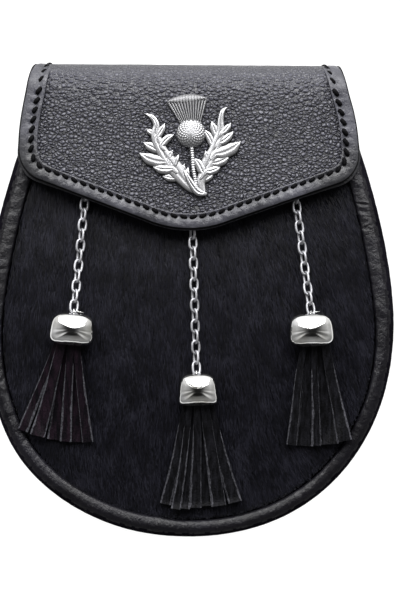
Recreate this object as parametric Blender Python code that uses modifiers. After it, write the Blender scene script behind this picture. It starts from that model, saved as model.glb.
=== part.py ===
"""Sporran pouch, lying on its back.

Frame: +Z is up and is the way the pouch's front faces, +Y runs towards the top fold of the flap, +X is
to the right as the front is looked at. The origin is under the middle of the pouch, on the surface.
All sizes below are millimetres and become metres where a mesh is made.
"""

import math

import bmesh
import bpy
import numpy as np
from mathutils import Matrix, Vector

MM = 0.001
GAP = 0.3
PROBE = 0.8  # half the stretch over which a line's direction is read

# Outline of the body, seen from the front
HALF_WIDTH = 96.1
WIDEST_Y = -9.6
BELLY_DEPTH = 101.6
BELLY_POWER = 2.15
UPPER_TAPER = 0.01133
UPPER_POWER = 1.65
MOUTH_Y = 99.0
PANEL_CORNER = 0.42  # where a panel's foot ends and its sides begin, along half the outline
PANEL_GAP = 0.5

# Gusset: the band round the body and its two rolled rims
LEATHER = 2.0
RIM_TOP = 33.0
RIM_TOP_FALL = 5.2
FOOT_RIM_WIDTH = 6.8
SHOULDER_RIM_WIDTH = 10.0
REAR_RIM_WIDTH = 8.6
TONGUE_ROOM = 5.6
FOLD_ROOM = 2.6
GUSSET_STEPS = 36
GUSSET_SECTION_STEPS = 10

# Front panel: hide and lying hair together
HIDE = 3.0
GROOVE = 2.9
DOME = 6.2
DOME_MIDDLE_Y = -25.0
DOME_SPREAD = 80.0
DOME_POWER = 2.6
RIM_NEAR = 0.90  # fraction of the panel's width from which a loose piece climbs onto the rim
FRONT_TOP_Y = 93.0
FRONT_COLUMNS = 10
FRONT_ROWS = 10

# Back panel
BACK_EDGE_Z = 3.4
BACK_PLATEAU_Z = 6.4
BACK_SLOPE = 16.0
BACK_COLUMNS = 8
BACK_ROWS = 8

# Flap: distances along the leather are counted from the tip
TIP_Y = 32.7
TIP_RADIUS = 50.0
LOWER_EDGE_SLOPE = math.radians(21.2)
CORNER_RADIUS = 15.5
FLAP_CORNER_S = 27.0  # where the flap's lower edge ends and its sides begin
FLAP_HALF_WIDTH = 79.9
TONGUE_HALF_WIDTH = 66.0
SHOULDER_RISE = 39.5
SHOULDER_POWER = 2.6
FOLD_TOP_Y = 108.4
FOLD_HALF_DEPTH = 12.5
FLAP_TIP_Z = 37.4
FLAP_SLOPE = math.radians(4.0)
CROWN = 5.0
CROWN_HALF_WIDTH = 76.0
TONGUE_LENGTH = 24.0
LINING = 1.2
GRAIN_BASE = 1.5
GRAIN = 1.5
GRAIN_INSET = 2.3
BORDER_INSET = 0.4
BORDER_WIDTH = 8.4
BORDER_LEATHER = 1.0
FLAP_STACK = 5.0
FLAP_FRONT_ROWS = 4
FLAP_FOLD_ROWS = 7
FLAP_BACK_ROWS = 1
FLAP_COLUMNS = 10

# Chains: oval links laid at two alternating tilts
WIRE = 1.0
LINK_LENGTH = 6.6
LINK_WIDTH = 4.3
LINK_PITCH = 4.86
LINK_TILTS = (math.radians(20.0), math.radians(-58.0))
LINK_CLIMB = 1.3
CHAIN_LIFT = 2.45
RIVET_SHANK = 0.55
RIVET_RADIUS = 2.2
RIVET_HEAD = 0.7
RIVET_CLEARANCE = 1.2
LINK_SEGMENTS = 10
WIRE_SEGMENTS = 5

# Caps
CAP_WIDTH = 17.4
CAP_HEIGHT = 13.8
CAP_DEPTH = 8.6
CAP_CROWN = 1.3
CAP_WALL = 0.8
CAP_ROOF = 2.6
CAP_EDGE = 1.6
EYE_RADIUS = 1.75
EYE_WIRE = 0.9
EYE_RISE = 0.85
EYE_SEAT = 1.1

# Tassels
STRIP = 1.2
HEAD_THICKNESS = 6.2
HEAD_WIDTH = 15.0
HEAD_TOP = 7.0
HEAD_FOOT = 0.6
ROOT_SPREAD = 5.0
ROOT_NARROWING = 0.55

# Badge
BADGE_BASE = GRAIN_BASE + GRAIN + GAP

# Belt loops and stud
LOOP_X = 38.0
LOOP_WIDTH = 16.0
LOOP_FOOT_Y = 10.0
LOOP_TUNNEL = 34.0
LOOP_SEW = 9.0
LOOP_STRAP = 1.6
LOOP_DROP = 4.4
STUD_Y = 60.0
STUD_FOOT_RADIUS = 2.2
STUD_HEAD_RADIUS = 4.0
STUD_HEAD = 1.2
STUD_SIDES = 10

COLOURS = {
    "hair": (0.010, 0.010, 0.014),
    "smooth_leather": (0.035, 0.035, 0.042),
    "grain_leather": (0.060, 0.060, 0.072),
    "suede": (0.045, 0.042, 0.042),
    "silver": (0.86, 0.86, 0.84),
}


def smooth(value):
    """Ease from 0 to 1."""
    value = min(max(value, 0.0), 1.0)
    return value * value * (3 - 2 * value)


# ---------------------------------------------------------------- outline and surfaces of the body

def half_width(y):
    """Half width of the body's outline at height y."""
    rise = y - WIDEST_Y
    if rise >= 0:
        return HALF_WIDTH - UPPER_TAPER * rise ** UPPER_POWER
    drop = min(-rise / BELLY_DEPTH, 1.0)
    return HALF_WIDTH * (1 - drop ** BELLY_POWER) ** (1 / BELLY_POWER)


def rim_width(y):
    """Width of the rolled front rim, narrow at the foot and wide at the shoulders."""
    return FOOT_RIM_WIDTH + (SHOULDER_RIM_WIDTH - FOOT_RIM_WIDTH) * smooth((y + 45) / 70)


def rim_top(y):
    """Height of the front rim, lower towards the mouth where the flap lies over it."""
    return RIM_TOP - RIM_TOP_FALL * smooth((y - 5) / 95)


def rear_rise(y):
    """Height of the rear rim, which lifts under the flap's tongue."""
    return TONGUE_ROOM * smooth((y - 14) / 54) + FOLD_ROOM * smooth((y - 84) / 16)


def body_fraction(x, y, inset):
    """0 on the middle line of the body, 1 on its outline drawn in by the inset."""
    if y >= WIDEST_Y:
        return abs(x) / (half_width(y) - inset)
    across = abs(x) / (HALF_WIDTH - inset)
    down = (WIDEST_Y - y) / (BELLY_DEPTH - inset)
    return (across ** BELLY_POWER + down ** BELLY_POWER) ** (1 / BELLY_POWER)


def front_height(x, y):
    """Height of the fur panel's face."""
    fraction = min(body_fraction(x, y, rim_width(y)), 1.0)
    dome = DOME * math.exp(-((y - DOME_MIDDLE_Y) / DOME_SPREAD) ** 2)
    return rim_top(y) - GROOVE + dome * (1 - fraction ** DOME_POWER)


def lying_height(x, y):
    """Height of what a loose piece lies on: the fur, or the rolled rim beside it."""
    fraction = body_fraction(x, y, rim_width(y))
    return front_height(x, y) + (GROOVE + GAP) * smooth((fraction - RIM_NEAR) / (1 - RIM_NEAR) * 1.25)


def back_height(x, y):
    """Height of the back panel's outer face."""
    fraction = min(body_fraction(x, y, REAR_RIM_WIDTH), 1.0)
    inward = (1 - fraction) * HALF_WIDTH / BACK_SLOPE
    edge = BACK_EDGE_Z + 0.5 * rear_rise(y)
    return edge + (BACK_PLATEAU_Z - edge) * smooth(inward)


class Track:
    """A mirrored line from its left end through its lowest point to its right end."""

    def __init__(self, half_points):
        points = np.array(half_points)
        steps = np.hypot(*np.diff(points, axis=0).T)
        self.length = np.concatenate(([0.0], np.cumsum(steps)))
        self.points = points

    def at(self, place, inset=0.0):
        """Point at place (-1 left end, 0 lowest point, 1 right end), drawn in by the inset."""
        reach = abs(place) * self.length[-1]
        probe = np.clip([reach - PROBE, reach + PROBE], 0, self.length[-1])
        x = np.interp(reach, self.length, self.points[:, 0])
        y = np.interp(reach, self.length, self.points[:, 1])
        along_x = np.diff(np.interp(probe, self.length, self.points[:, 0]))[0]
        along_y = np.diff(np.interp(probe, self.length, self.points[:, 1]))[0]
        if reach < PROBE:
            along_y = 0.0
        size = math.hypot(along_x, along_y)
        x -= inset * along_y / size
        y += inset * along_x / size
        return math.copysign(1, place) * x if place else 0.0, y

    def place_of_height(self, y):
        """Place on the right side at height y."""
        return np.interp(y, self.points[:, 1], self.length) / self.length[-1]


def body_track():
    """The body's outline from the foot to the mouth."""
    turns = np.linspace(math.pi / 2, 0, 160)
    belly = [
        (
            HALF_WIDTH * max(math.cos(turn), 0) ** (2 / BELLY_POWER),
            WIDEST_Y - BELLY_DEPTH * max(math.sin(turn), 0) ** (2 / BELLY_POWER),
        )
        for turn in turns
    ]
    side = [(half_width(y), y) for y in np.linspace(WIDEST_Y, MOUTH_Y, 80)[1:]]
    return Track(belly + side)


def patch_point(track, u, v, inset, top=1.0):
    """Point of a sheet whose lower edge and sides follow the track and whose top edge is straight."""
    foot_x, foot_y = track.at((2 * u - 1) * PANEL_CORNER, inset)
    corner_x, corner_y = track.at(PANEL_CORNER, inset)
    side_x, side_y = track.at(PANEL_CORNER + (top - PANEL_CORNER) * v, inset)
    return side_x * foot_x / corner_x, side_y + (1 - v) * (foot_y - corner_y)


# ---------------------------------------------------------------- outline and fold of the flap

def flap_half_width(rise):
    """Half width of the flap above its lower corners, over the fold and down the tongue."""
    spread = FLAP_HALF_WIDTH - TONGUE_HALF_WIDTH
    return TONGUE_HALF_WIDTH + spread / (1 + (max(rise, 0) / SHOULDER_RISE) ** SHOULDER_POWER)


def flap_track(length):
    """The flap's outline laid out flat, from the tip to the end of the tongue."""
    slope = LOWER_EDGE_SLOPE
    tip = [
        (TIP_RADIUS * math.sin(turn), TIP_RADIUS * (1 - math.cos(turn)))
        for turn in np.linspace(0, slope, 12)
    ]
    line_x, line_s = tip[-1]
    corner_x = FLAP_HALF_WIDTH - CORNER_RADIUS
    corner_s = line_s + (corner_x - line_x) * math.tan(slope) + CORNER_RADIUS / math.cos(slope)
    corner = [
        (corner_x + CORNER_RADIUS * math.sin(turn), corner_s - CORNER_RADIUS * math.cos(turn))
        for turn in np.linspace(slope, math.pi / 2, 24)
    ]
    side = [(flap_half_width(s - corner_s), s) for s in np.linspace(corner_s, length, 120)[1:]]
    return Track(tip + corner + side)


class Fold:
    """Side view of the flap's inner face: straight over the front, round the fold, down the back."""

    def __init__(self):
        middle_y = FOLD_TOP_Y - FOLD_HALF_DEPTH
        front_end_z = FLAP_TIP_Z - (middle_y - TIP_Y) * math.tan(FLAP_SLOPE)
        half_height = (front_end_z - FLAP_STACK) / 2
        middle_z = FLAP_STACK + half_height
        start = math.atan2(half_height, FOLD_HALF_DEPTH * math.tan(FLAP_SLOPE))
        turns = np.linspace(start, -math.pi / 2, 90)
        arc_y = middle_y + FOLD_HALF_DEPTH * np.cos(turns)
        arc_z = middle_z + half_height * np.sin(turns)
        tip_z = arc_z[0] + (arc_y[0] - TIP_Y) * math.tan(FLAP_SLOPE)
        self.y = np.concatenate(([TIP_Y], arc_y, [middle_y - TONGUE_LENGTH]))
        self.z = np.concatenate(([tip_z], arc_z, [FLAP_STACK]))
        self.s = np.concatenate(([0.0], np.cumsum(np.hypot(np.diff(self.y), np.diff(self.z)))))
        self.start = self.s[1]
        self.end = self.s[-2]
        self.length = self.s[-1]

    def at(self, x, s, height):
        """Point of the flap at x, s along the leather and a height above the inner face."""
        y = np.interp(s, self.s, self.y)
        z = np.interp(s, self.s, self.z)
        probe = np.clip([s - PROBE, s + PROBE], 0, self.length)
        along_y = np.diff(np.interp(probe, self.s, self.y))[0]
        along_z = np.diff(np.interp(probe, self.s, self.z))[0]
        size = math.hypot(along_y, along_z)
        out_y, out_z = -along_z / size, along_y / size
        crown = CROWN * max(out_z, 0) ** 2 * (abs(x) / CROWN_HALF_WIDTH) ** 3
        return x, y + height * out_y, z + height * out_z - crown


# ---------------------------------------------------------------- mesh helpers

def new_material(name, colour, roughness, metallic=0.0):
    """A plain surface of one colour."""
    material = bpy.data.materials.new(name)
    material.use_nodes = True
    shader = material.node_tree.nodes["Principled BSDF"]
    shader.inputs["Base Color"].default_value = (*colour, 1.0)
    shader.inputs["Roughness"].default_value = roughness
    shader.inputs["Metallic"].default_value = metallic
    return material


def new_object(name, mesh, material=None, smooth_angle=40.0):
    """Put a mesh in the scene as an object of its own."""
    mesh.name = name
    if material:
        mesh.materials.clear()
        mesh.materials.append(material)
    mesh.shade_smooth()
    mesh.set_sharp_from_angle(angle=math.radians(smooth_angle))
    piece = bpy.data.objects.new(name, mesh)
    part_collection.objects.link(piece)
    return piece


def mesh_from(bm, name="piece"):
    """Turn a bmesh into a mesh."""
    mesh = bpy.data.meshes.new(name)
    bm.to_mesh(mesh)
    bm.free()
    return mesh


def grid(columns, rows, place):
    """An open grid whose points are put by place(u, v), with u and v running from 0 to 1."""
    bm = bmesh.new()
    bmesh.ops.create_grid(bm, x_segments=columns, y_segments=rows, size=1.0)
    for vertex in bm.verts:
        vertex.co = Vector(place((vertex.co.x + 1) / 2, (vertex.co.y + 1) / 2)) * MM
    return bm


def sheet(name, columns, rows, place, thickness, material):
    """A leather sheet: the outer face is put by place and the thickness goes inwards."""
    piece = new_object(name, mesh_from(grid(columns, rows, place)), material)
    solidify = piece.modifiers.new("thickness", "SOLIDIFY")
    solidify.thickness = thickness * MM
    solidify.offset = -1.0
    solidify.use_even_offset = True
    return piece


def evaluated_mesh(piece):
    """The mesh of an object with its modifiers, in the scene's frame."""
    graph = bpy.context.evaluated_depsgraph_get()
    graph.update()
    mesh = bpy.data.meshes.new_from_object(piece.evaluated_get(graph))
    mesh.transform(piece.matrix_world)
    return mesh


def tube_mesh(points, radii, resolution=1):
    """A round bar through the points, with its own radius at each, as a closed mesh."""
    curve = bpy.data.curves.new("bar", "CURVE")
    curve.dimensions = "3D"
    curve.bevel_depth = MM
    curve.bevel_resolution = resolution
    curve.use_fill_caps = True
    spline = curve.splines.new("POLY")
    spline.points.add(len(points) - 1)
    for knot, point, radius in zip(spline.points, points, radii):
        knot.co = (*(Vector(point) * MM), 1.0)
        knot.radius = radius
    bar = bpy.data.objects.new("bar", curve)
    part_collection.objects.link(bar)
    mesh = evaluated_mesh(bar)
    bpy.data.objects.remove(bar)
    bm = bmesh.new()
    bm.from_mesh(mesh)
    bmesh.ops.remove_doubles(bm, verts=bm.verts, dist=1e-7)
    return mesh_from(bm)


def fuse(name, meshes, material, cut=None, smooth_angle=40.0):
    """Join closed meshes into one body, and take the cut away from it."""
    joining = bpy.data.collections.new("joining")
    bpy.context.scene.collection.children.link(joining)
    for mesh in meshes[1:]:
        joining.objects.link(bpy.data.objects.new("joined", mesh))
    base = new_object(name, meshes[0], material, smooth_angle)
    union = base.modifiers.new("join", "BOOLEAN")
    union.operation = "UNION"
    union.operand_type = "COLLECTION"
    union.collection = joining
    union.solver = "EXACT"
    union.use_self = True
    if cut:
        cutter = bpy.data.objects.new("cut", cut)
        joining_cut = base.modifiers.new("cut", "BOOLEAN")
        joining_cut.operation = "DIFFERENCE"
        joining_cut.object = cutter
        joining_cut.solver = "EXACT"
        bpy.context.scene.collection.objects.link(cutter)
    fused = evaluated_mesh(base)
    for leftover in list(joining.objects) + ([cutter] if cut else []) + [base]:
        bpy.data.objects.remove(leftover)
    bpy.data.collections.remove(joining)
    return new_object(name, fused, material, smooth_angle)


def turned(name, profile, steps, place, material):
    """A round piece from its profile of (radius, height) points, top to bottom."""
    mesh = bpy.data.meshes.new(name)
    points = [(radius * MM, 0.0, height * MM) for radius, height in profile]
    mesh.from_pydata(points, [(k, k + 1) for k in range(len(points) - 1)], [])
    piece = new_object(name, mesh, material)
    piece.location = Vector(place) * MM
    screw = piece.modifiers.new("turn", "SCREW")
    screw.steps = steps
    screw.render_steps = steps
    screw.use_merge_vertices = True
    screw.merge_threshold = 1e-5
    return piece


# ---------------------------------------------------------------- the body

def gusset_section(y, fraction):
    """Inset from the outline and height of the gusset's outer face, from its front edge to its rear."""
    width = rim_width(y)
    top = rim_top(y)
    foot = rear_rise(y)
    rows = (
        # inset,       height
        (width,          top - 3.3),
        (width * 0.88,   top - 1.2),
        (width * 0.62,   top),
        (width * 0.34,   top - 0.2),
        (width * 0.11,   top - 2.0),
        (0.1,            top - 4.8),
        (0.4,            (top + foot) / 2),
        (0.0,            foot + 4.6),
        (3.0,            foot),
        (5.8,            foot),
        (REAR_RIM_WIDTH, foot + 3.0),
    )
    places = np.linspace(0, 1, len(rows))
    inset = np.interp(fraction, places, [row[0] for row in rows])
    height = np.interp(fraction, places, [row[1] for row in rows])
    return inset, height


def make_gusset(outline, leather):
    """The U-shaped band with its rolled rims."""

    def place(u, v):
        side = 1 - 2 * u
        y = outline.at(side)[1]
        inset, height = gusset_section(y, v)
        x, y = outline.at(side, inset)
        return x, y, height

    return sheet("gusset", GUSSET_STEPS, GUSSET_SECTION_STEPS, place, LEATHER, leather)


def make_front_panel(outline, hair):
    """The domed fur front, inside the front rim."""
    top = outline.place_of_height(FRONT_TOP_Y)

    def place(u, v):
        rough_y = patch_point(outline, u, v, FOOT_RIM_WIDTH, top)[1]
        x, y = patch_point(outline, u, v, rim_width(rough_y) + PANEL_GAP, top)
        return x, y, front_height(x, y)

    return sheet("front_panel", FRONT_COLUMNS, FRONT_ROWS, place, HIDE, hair)


def make_back_panel(outline, leather):
    """The back, set in inside the rear rim."""

    def place(u, v):
        x, y = patch_point(outline, 1 - u, v, REAR_RIM_WIDTH + PANEL_GAP)
        return x, y, back_height(x, y)

    return sheet("back_panel", BACK_COLUMNS, BACK_ROWS, place, LEATHER, leather)


# ---------------------------------------------------------------- the flap

def flap_sheet(name, outline, fold, inset, height, thickness, material):
    """One full layer of the flap, its outer face at a height above the inner face."""
    rows = FLAP_FRONT_ROWS + FLAP_FOLD_ROWS + FLAP_BACK_ROWS
    corner = outline.place_of_height(FLAP_CORNER_S)
    foot_x, foot_s = outline.at(corner, inset)

    def place(u, v):
        row = v * rows
        turns = (0, FLAP_FRONT_ROWS, FLAP_FRONT_ROWS + FLAP_FOLD_ROWS, rows)
        side_s = np.interp(row, turns, (foot_s, fold.start, fold.end, fold.length - inset))
        side = outline.place_of_height(side_s)
        side_x = outline.at(max(side, corner), inset)[0] if row else foot_x
        edge_x, edge_s = outline.at((2 * u - 1) * corner, inset)
        dip = max(1 - row / FLAP_FRONT_ROWS, 0.0) * (edge_s - foot_s)
        return fold.at(side_x * edge_x / foot_x, side_s + dip, height)

    return sheet(name, FLAP_COLUMNS, rows, place, thickness, material)


def make_flap_border(outline, fold, leather):
    """The smooth border along the flap's edge, turned down over the panel's edge."""
    section = (
        # inset,       height above the inner face
        (0.0,          1.7),
        (0.0,          3.7),
        (1.2,          4.8),
        (4.6,          FLAP_STACK),
        (BORDER_WIDTH, 4.65),
    )
    places = np.linspace(0, 1, len(section))
    insets = [row[0] for row in section]
    heights = [row[1] for row in section]
    knots = border_knots(outline, fold)

    def place(u, v):
        side = np.interp(u, np.linspace(0, 1, len(knots)), knots)
        x, s = outline.at(side, BORDER_INSET + np.interp(v, places, insets))
        return fold.at(x, s, np.interp(v, places, heights))

    return sheet("flap_border", len(knots) - 1, len(section) - 1, place, BORDER_LEATHER, leather)


def border_knots(outline, fold):
    """Places along the flap's edge where the border has a section, closer where it turns."""
    runs = (
        # s along the side, steps from the row before
        (0.0, 0),
        (3.4, 2),
        (23.5, 2),
        (38.0, 4),
        (fold.start, 2),
        (fold.end, 7),
        (fold.length, 1),
    )
    half = [0.0]
    for (start, _), (end, steps) in zip(runs, runs[1:]):
        here = outline.place_of_height(start) if start else 0.0
        there = outline.place_of_height(end)
        half += list(np.linspace(here, there, steps + 1)[1:])
    return [-place for place in reversed(half[1:])] + half


# ---------------------------------------------------------------- the thistle badge

BULB = (0.9, 77.4, 6.7)
BULB_RELIEF = 4.6
CAST_LIFT = 0.4
LEAF_LIFT = 0.35
LEAF_RELIEF = 0.75
CROWN_BRISTLES = (
    # foot x, foot y, head x, head y, radius
    (-2.2, 82.2, -8.8, 94.6, 2.0),
    (-1.1, 82.6, -5.2, 95.6, 2.1),
    (0.3,  82.8, -1.4, 96.0, 2.2),
    (1.6,  82.8, 2.4,  95.6, 2.1),
    (3.2,  82.4, 6.2,  94.4, 2.0),
)
STEM = (
    # x, y, radius
    (1.2, 71.5, 1.3),
    (2.0, 64.0, 1.0),
    (3.0, 56.0, 1.1),
    (3.4, 51.6, 2.0),
    (5.6, 50.0, 1.6),
    (8.2, 49.4, 0.7),
)
RIBS = {
    "left": (
        # x, y, radius
        (2.8,   55.4, 1.0),
        (-5.6,  60.4, 1.2),
        (-9.4,  65.6, 1.4),
        (-12.7, 71.2, 1.4),
        (-15.0, 77.3, 1.2),
        (-16.7, 81.5, 1.0),
        (-20.0, 87.7, 0.3),
    ),
    "right": (
        # x, y, radius
        (3.4,  53.0, 1.0),
        (6.6,  59.5, 1.2),
        (10.3, 64.6, 1.4),
        (12.7, 69.3, 1.4),
        (15.5, 74.5, 1.2),
        (16.5, 79.9, 1.0),
        (15.8, 84.4, 0.9),
        (18.3, 90.6, 0.3),
    ),
}
LEAFLETS = {
    "left": (
        # root x, root y, tip x, tip y, half width
        (-15.8, 78.0, -19.6, 81.2, 1.3),
        (-14.2, 73.6, -20.3, 74.4, 1.7),
        (-11.4, 68.0, -22.1, 68.8, 2.4),
        (-8.4,  63.6, -16.2, 62.3, 2.0),
        (-4.6,  59.6, -11.4, 57.9, 1.6),
        (-15.2, 77.6, -10.8, 83.0, 1.5),
        (-13.4, 72.4, -6.6,  77.2, 1.6),
        (-9.8,  65.6, -6.5,  72.0, 1.7),
        (-5.0,  60.4, -3.8,  67.6, 1.5),
    ),
    "right": (
        # root x, root y, tip x, tip y, half width
        (16.2, 79.8, 20.4, 83.6, 1.2),
        (16.0, 76.6, 21.4, 79.2, 1.4),
        (14.4, 72.0, 24.8, 75.0, 2.4),
        (12.0, 66.6, 19.5, 67.4, 2.0),
        (9.2,  62.6, 15.2, 62.2, 1.7),
        (7.0,  59.4, 12.0, 59.6, 1.3),
        (16.2, 79.0, 11.8, 84.0, 1.5),
        (14.6, 73.4, 8.2,  79.8, 1.6),
        (10.8, 65.8, 8.9,  71.6, 1.7),
        (6.6,  59.6, 4.2,  66.0, 1.4),
    ),
}


def leaflet_mesh(root_x, root_y, tip_x, tip_y, width):
    """A pointed leaf: a flattened cone lying from its root to its tip."""
    along = Vector((tip_x - root_x, tip_y - root_y, 0))
    bm = bmesh.new()
    bmesh.ops.create_cone(
        bm, segments=4, radius1=1.0, radius2=0.12, depth=1.0, cap_ends=True, cap_tris=False
    )
    turn = along.to_track_quat("Z", "Y").to_matrix().to_4x4()
    size = Matrix.Diagonal((width, width, along.length, 1))
    middle = Vector((root_x, root_y, 0)) + along / 2
    bm.transform(Matrix.Translation(middle) @ turn @ size)
    bm.transform(Matrix.Translation((0, 0, LEAF_LIFT)) @ Matrix.Diagonal((1, 1, LEAF_RELIEF, 1)))
    bm.transform(Matrix.Scale(MM, 4))
    return mesh_from(bm)


def bulb_mesh():
    """The round head of the thistle."""
    x, y, radius = BULB
    bm = bmesh.new()
    bmesh.ops.create_uvsphere(bm, u_segments=12, v_segments=6, radius=1.0)
    size = Matrix.Diagonal((radius, radius, BULB_RELIEF, 1))
    bm.transform(Matrix.Translation((x, y, CAST_LIFT)) @ size)
    bm.transform(Matrix.Scale(MM, 4))
    return mesh_from(bm)


def bristle_mesh(foot_x, foot_y, head_x, head_y, radius):
    """One rib of the crown, wider and higher at its head."""
    points = ((foot_x, foot_y, CAST_LIFT * 2), (head_x, head_y, CAST_LIFT * 4))
    return tube_mesh(points, (radius * 0.8, radius))


def box_mesh(low, high):
    """A plain box between two corners."""
    bm = bmesh.new()
    bmesh.ops.create_cube(bm, size=1.0)
    low, high = Vector(low) * MM, Vector(high) * MM
    bm.transform(Matrix.Translation((low + high) / 2) @ Matrix.Diagonal((*(high - low), 1)))
    return mesh_from(bm)


def make_badge(fold, silver):
    """The cast thistle: head, crown, stem and two sprays of leaves, flat behind."""
    meshes = [bulb_mesh()]
    meshes += [bristle_mesh(*row) for row in CROWN_BRISTLES]
    for rows in (STEM, *RIBS.values()):
        points = [(x, y, CAST_LIFT) for x, y, _ in rows]
        meshes.append(tube_mesh(points, [radius for _, _, radius in rows]))
    for side in LEAFLETS:
        meshes += [leaflet_mesh(*row) for row in LEAFLETS[side]]
    below = box_mesh((-HALF_WIDTH, 0, -BULB_RELIEF * 2), (HALF_WIDTH, 2 * HALF_WIDTH, 0))
    badge = fuse("thistle_badge", meshes, silver, below, 30.0)
    for vertex in badge.data.vertices:
        x, y, height = vertex.co / MM
        vertex.co = Vector(fold.at(x, y - TIP_Y, BADGE_BASE + height)) * MM
    return badge


# ---------------------------------------------------------------- chains, caps and tassels

HANGERS = {
    # cap top x, cap top y, slant of the chain (x per y), links, turn of the cap about its chain
    "left":   (-53.0, -6.9,  0.082,  13, 15.0),
    "centre": (4.3,   -35.1, -0.035, 15, 0.0),
    "right":  (57.4,  -7.1,  -0.132, 13, -15.0),
}
STRIPS = {
    # foot x and foot y from the middle of the cap's mouth, width, layer
    "left": (
        (-21.8, -40.6, 5.0, 0),
        (-15.6, -43.0, 7.0, 1),
        (-7.8,  -45.0, 7.4, 0),
        (-2.6,  -45.7, 5.6, 1),
        (2.2,   -46.0, 6.2, 0),
        (7.9,   -45.8, 5.2, 1),
    ),
    "centre": (
        (-14.5, -46.6, 5.4, 0),
        (-9.7,  -48.6, 4.4, 1),
        (-5.4,  -48.6, 4.4, 0),
        (-0.6,  -47.9, 5.4, 1),
        (4.6,   -47.2, 4.8, 0),
        (10.3,  -47.0, 7.0, 1),
        (16.9,  -45.4, 6.4, 0),
    ),
    "right": (
        (-10.2, -46.4, 4.8, 1),
        (-4.4,  -46.9, 7.2, 0),
        (1.2,   -46.9, 4.4, 1),
        (7.2,   -46.0, 8.6, 0),
        (14.6,  -44.2, 6.6, 1),
    ),
}


def hanger_axis(side):
    """Unit direction of a chain, upwards, in the plane of the front."""
    slant = HANGERS[side][2]
    return Vector((slant, 1.0, 0.0)).normalized()


def cap_frame(side):
    """Where a cap lies: its top middle at the origin, +Y up its chain, +Z out of its face."""
    x, y, slant, _, turn = HANGERS[side]
    axis = hanger_axis(side)
    lean = Matrix.Rotation(-math.atan(slant), 4, "Z")
    roll = Matrix.Rotation(math.radians(turn), 4, "Y")
    half_width_at_back = CAP_WIDTH / 2 * abs(math.sin(math.radians(turn)))
    middle = Vector((x, y, 0)) - axis * CAP_HEIGHT / 2
    lift = CAP_DEPTH / 2 * math.cos(math.radians(turn)) + half_width_at_back
    surface = max(
        front_height(middle.x + dx, middle.y + dy)
        for dx in (-CAP_WIDTH / 2, 0, CAP_WIDTH / 2)
        for dy in (-CAP_HEIGHT * 0.4, 0, CAP_HEIGHT * 0.6)
    )
    return Matrix.Translation((x, y, surface + GAP + lift)) @ lean @ roll


def link_mesh(place):
    """One oval link, its long way along Y."""
    bm = bmesh.new()
    ring = torus(bm, (LINK_WIDTH - WIRE) / 2, WIRE / 2, LINK_SEGMENTS, WIRE_SEGMENTS)
    round_reach = (LINK_WIDTH - WIRE) / 2 * math.cos(math.pi / LINK_SEGMENTS)
    stretch = (LINK_LENGTH - WIRE) / 2 - round_reach
    for vertex in ring:
        if abs(vertex.co.y) > WIRE / 2:
            vertex.co.y += math.copysign(stretch, vertex.co.y)
    bm.transform(place)
    bm.transform(Matrix.Scale(MM, 4))
    return bm


def torus(bm, radius, wire, segments, sides):
    """A ring in the XY plane, swept from a circle of the wire's section."""
    section = bmesh.ops.create_circle(bm, segments=sides, radius=wire)["verts"]
    stand = Matrix.Translation((radius, 0, 0)) @ Matrix.Rotation(math.pi / 2, 4, "X")
    bmesh.ops.transform(bm, matrix=stand, verts=section)
    edges = list({edge for vertex in section for edge in vertex.link_edges})
    bmesh.ops.spin(
        bm, geom=section + edges, axis=(0, 0, 1), cent=(0, 0, 0), angle=2 * math.pi, steps=segments
    )
    bmesh.ops.remove_doubles(bm, verts=bm.verts, dist=1e-4)
    bmesh.ops.recalc_face_normals(bm, faces=bm.faces)
    return bm.verts


def chain_frames(side):
    """Frames of a chain's links from the cap's eye up to the rivet, each link long along its Y."""
    axis = hanger_axis(side)
    across = axis.cross(Vector((0, 0, 1)))
    seat = cap_frame(side) @ Vector((0, EYE_SEAT, 0))
    bearing = seat + axis * (LINK_LENGTH - WIRE - LINK_PITCH) / 2
    frames = []
    for number in range(HANGERS[side][3]):
        ahead = bearing + axis * LINK_PITCH
        climb = front_height(ahead.x, ahead.y) + CHAIN_LIFT - bearing.z
        climb = min(max(climb, -LINK_CLIMB), LINK_CLIMB)
        along = (axis * LINK_PITCH + Vector((0, 0, climb))).normalized()
        lie = Matrix((across, along, across.cross(along))).transposed().to_4x4()
        tilt = Matrix.Rotation(LINK_TILTS[number % 2], 4, "Y")
        frames.append(Matrix.Translation(bearing + along * LINK_PITCH / 2) @ lie @ tilt)
        bearing = bearing + along * LINK_PITCH
    return frames


def make_chain(side, silver):
    """A chain of interlocking links, fused where they bear on each other."""
    frames = chain_frames(side)
    halves = []
    for start in (0, 1):
        bm = bmesh.new()
        for frame in frames[start::2]:
            link = mesh_from(link_mesh(frame))
            bm.from_mesh(link)
            bpy.data.meshes.remove(link)
        halves.append(mesh_from(bm))
    return fuse(f"chain_{side}", halves, silver, None, 60.0)


def pillow_mesh(width, height, depth, crown):
    """A box with chamfered edges and a low four-sided point on its face, its top middle at the origin."""
    bm = bmesh.new()
    bmesh.ops.create_cube(bm, size=1.0)
    bm.transform(Matrix.Translation((0, -height / 2, 0)) @ Matrix.Diagonal((width, height, depth, 1)))
    bm.normal_update()
    face = [face for face in bm.faces if face.normal.z > 0.9]
    raised = bmesh.ops.poke(bm, faces=face)["verts"]
    for vertex in raised:
        vertex.co.z += crown
    sides = [edge for edge in bm.edges if not set(edge.verts) & set(raised)]
    bmesh.ops.bevel(bm, geom=sides, offset=CAP_EDGE, segments=1, affect="EDGES")
    bm.transform(Matrix.Scale(MM, 4))
    return mesh_from(bm)


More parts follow.
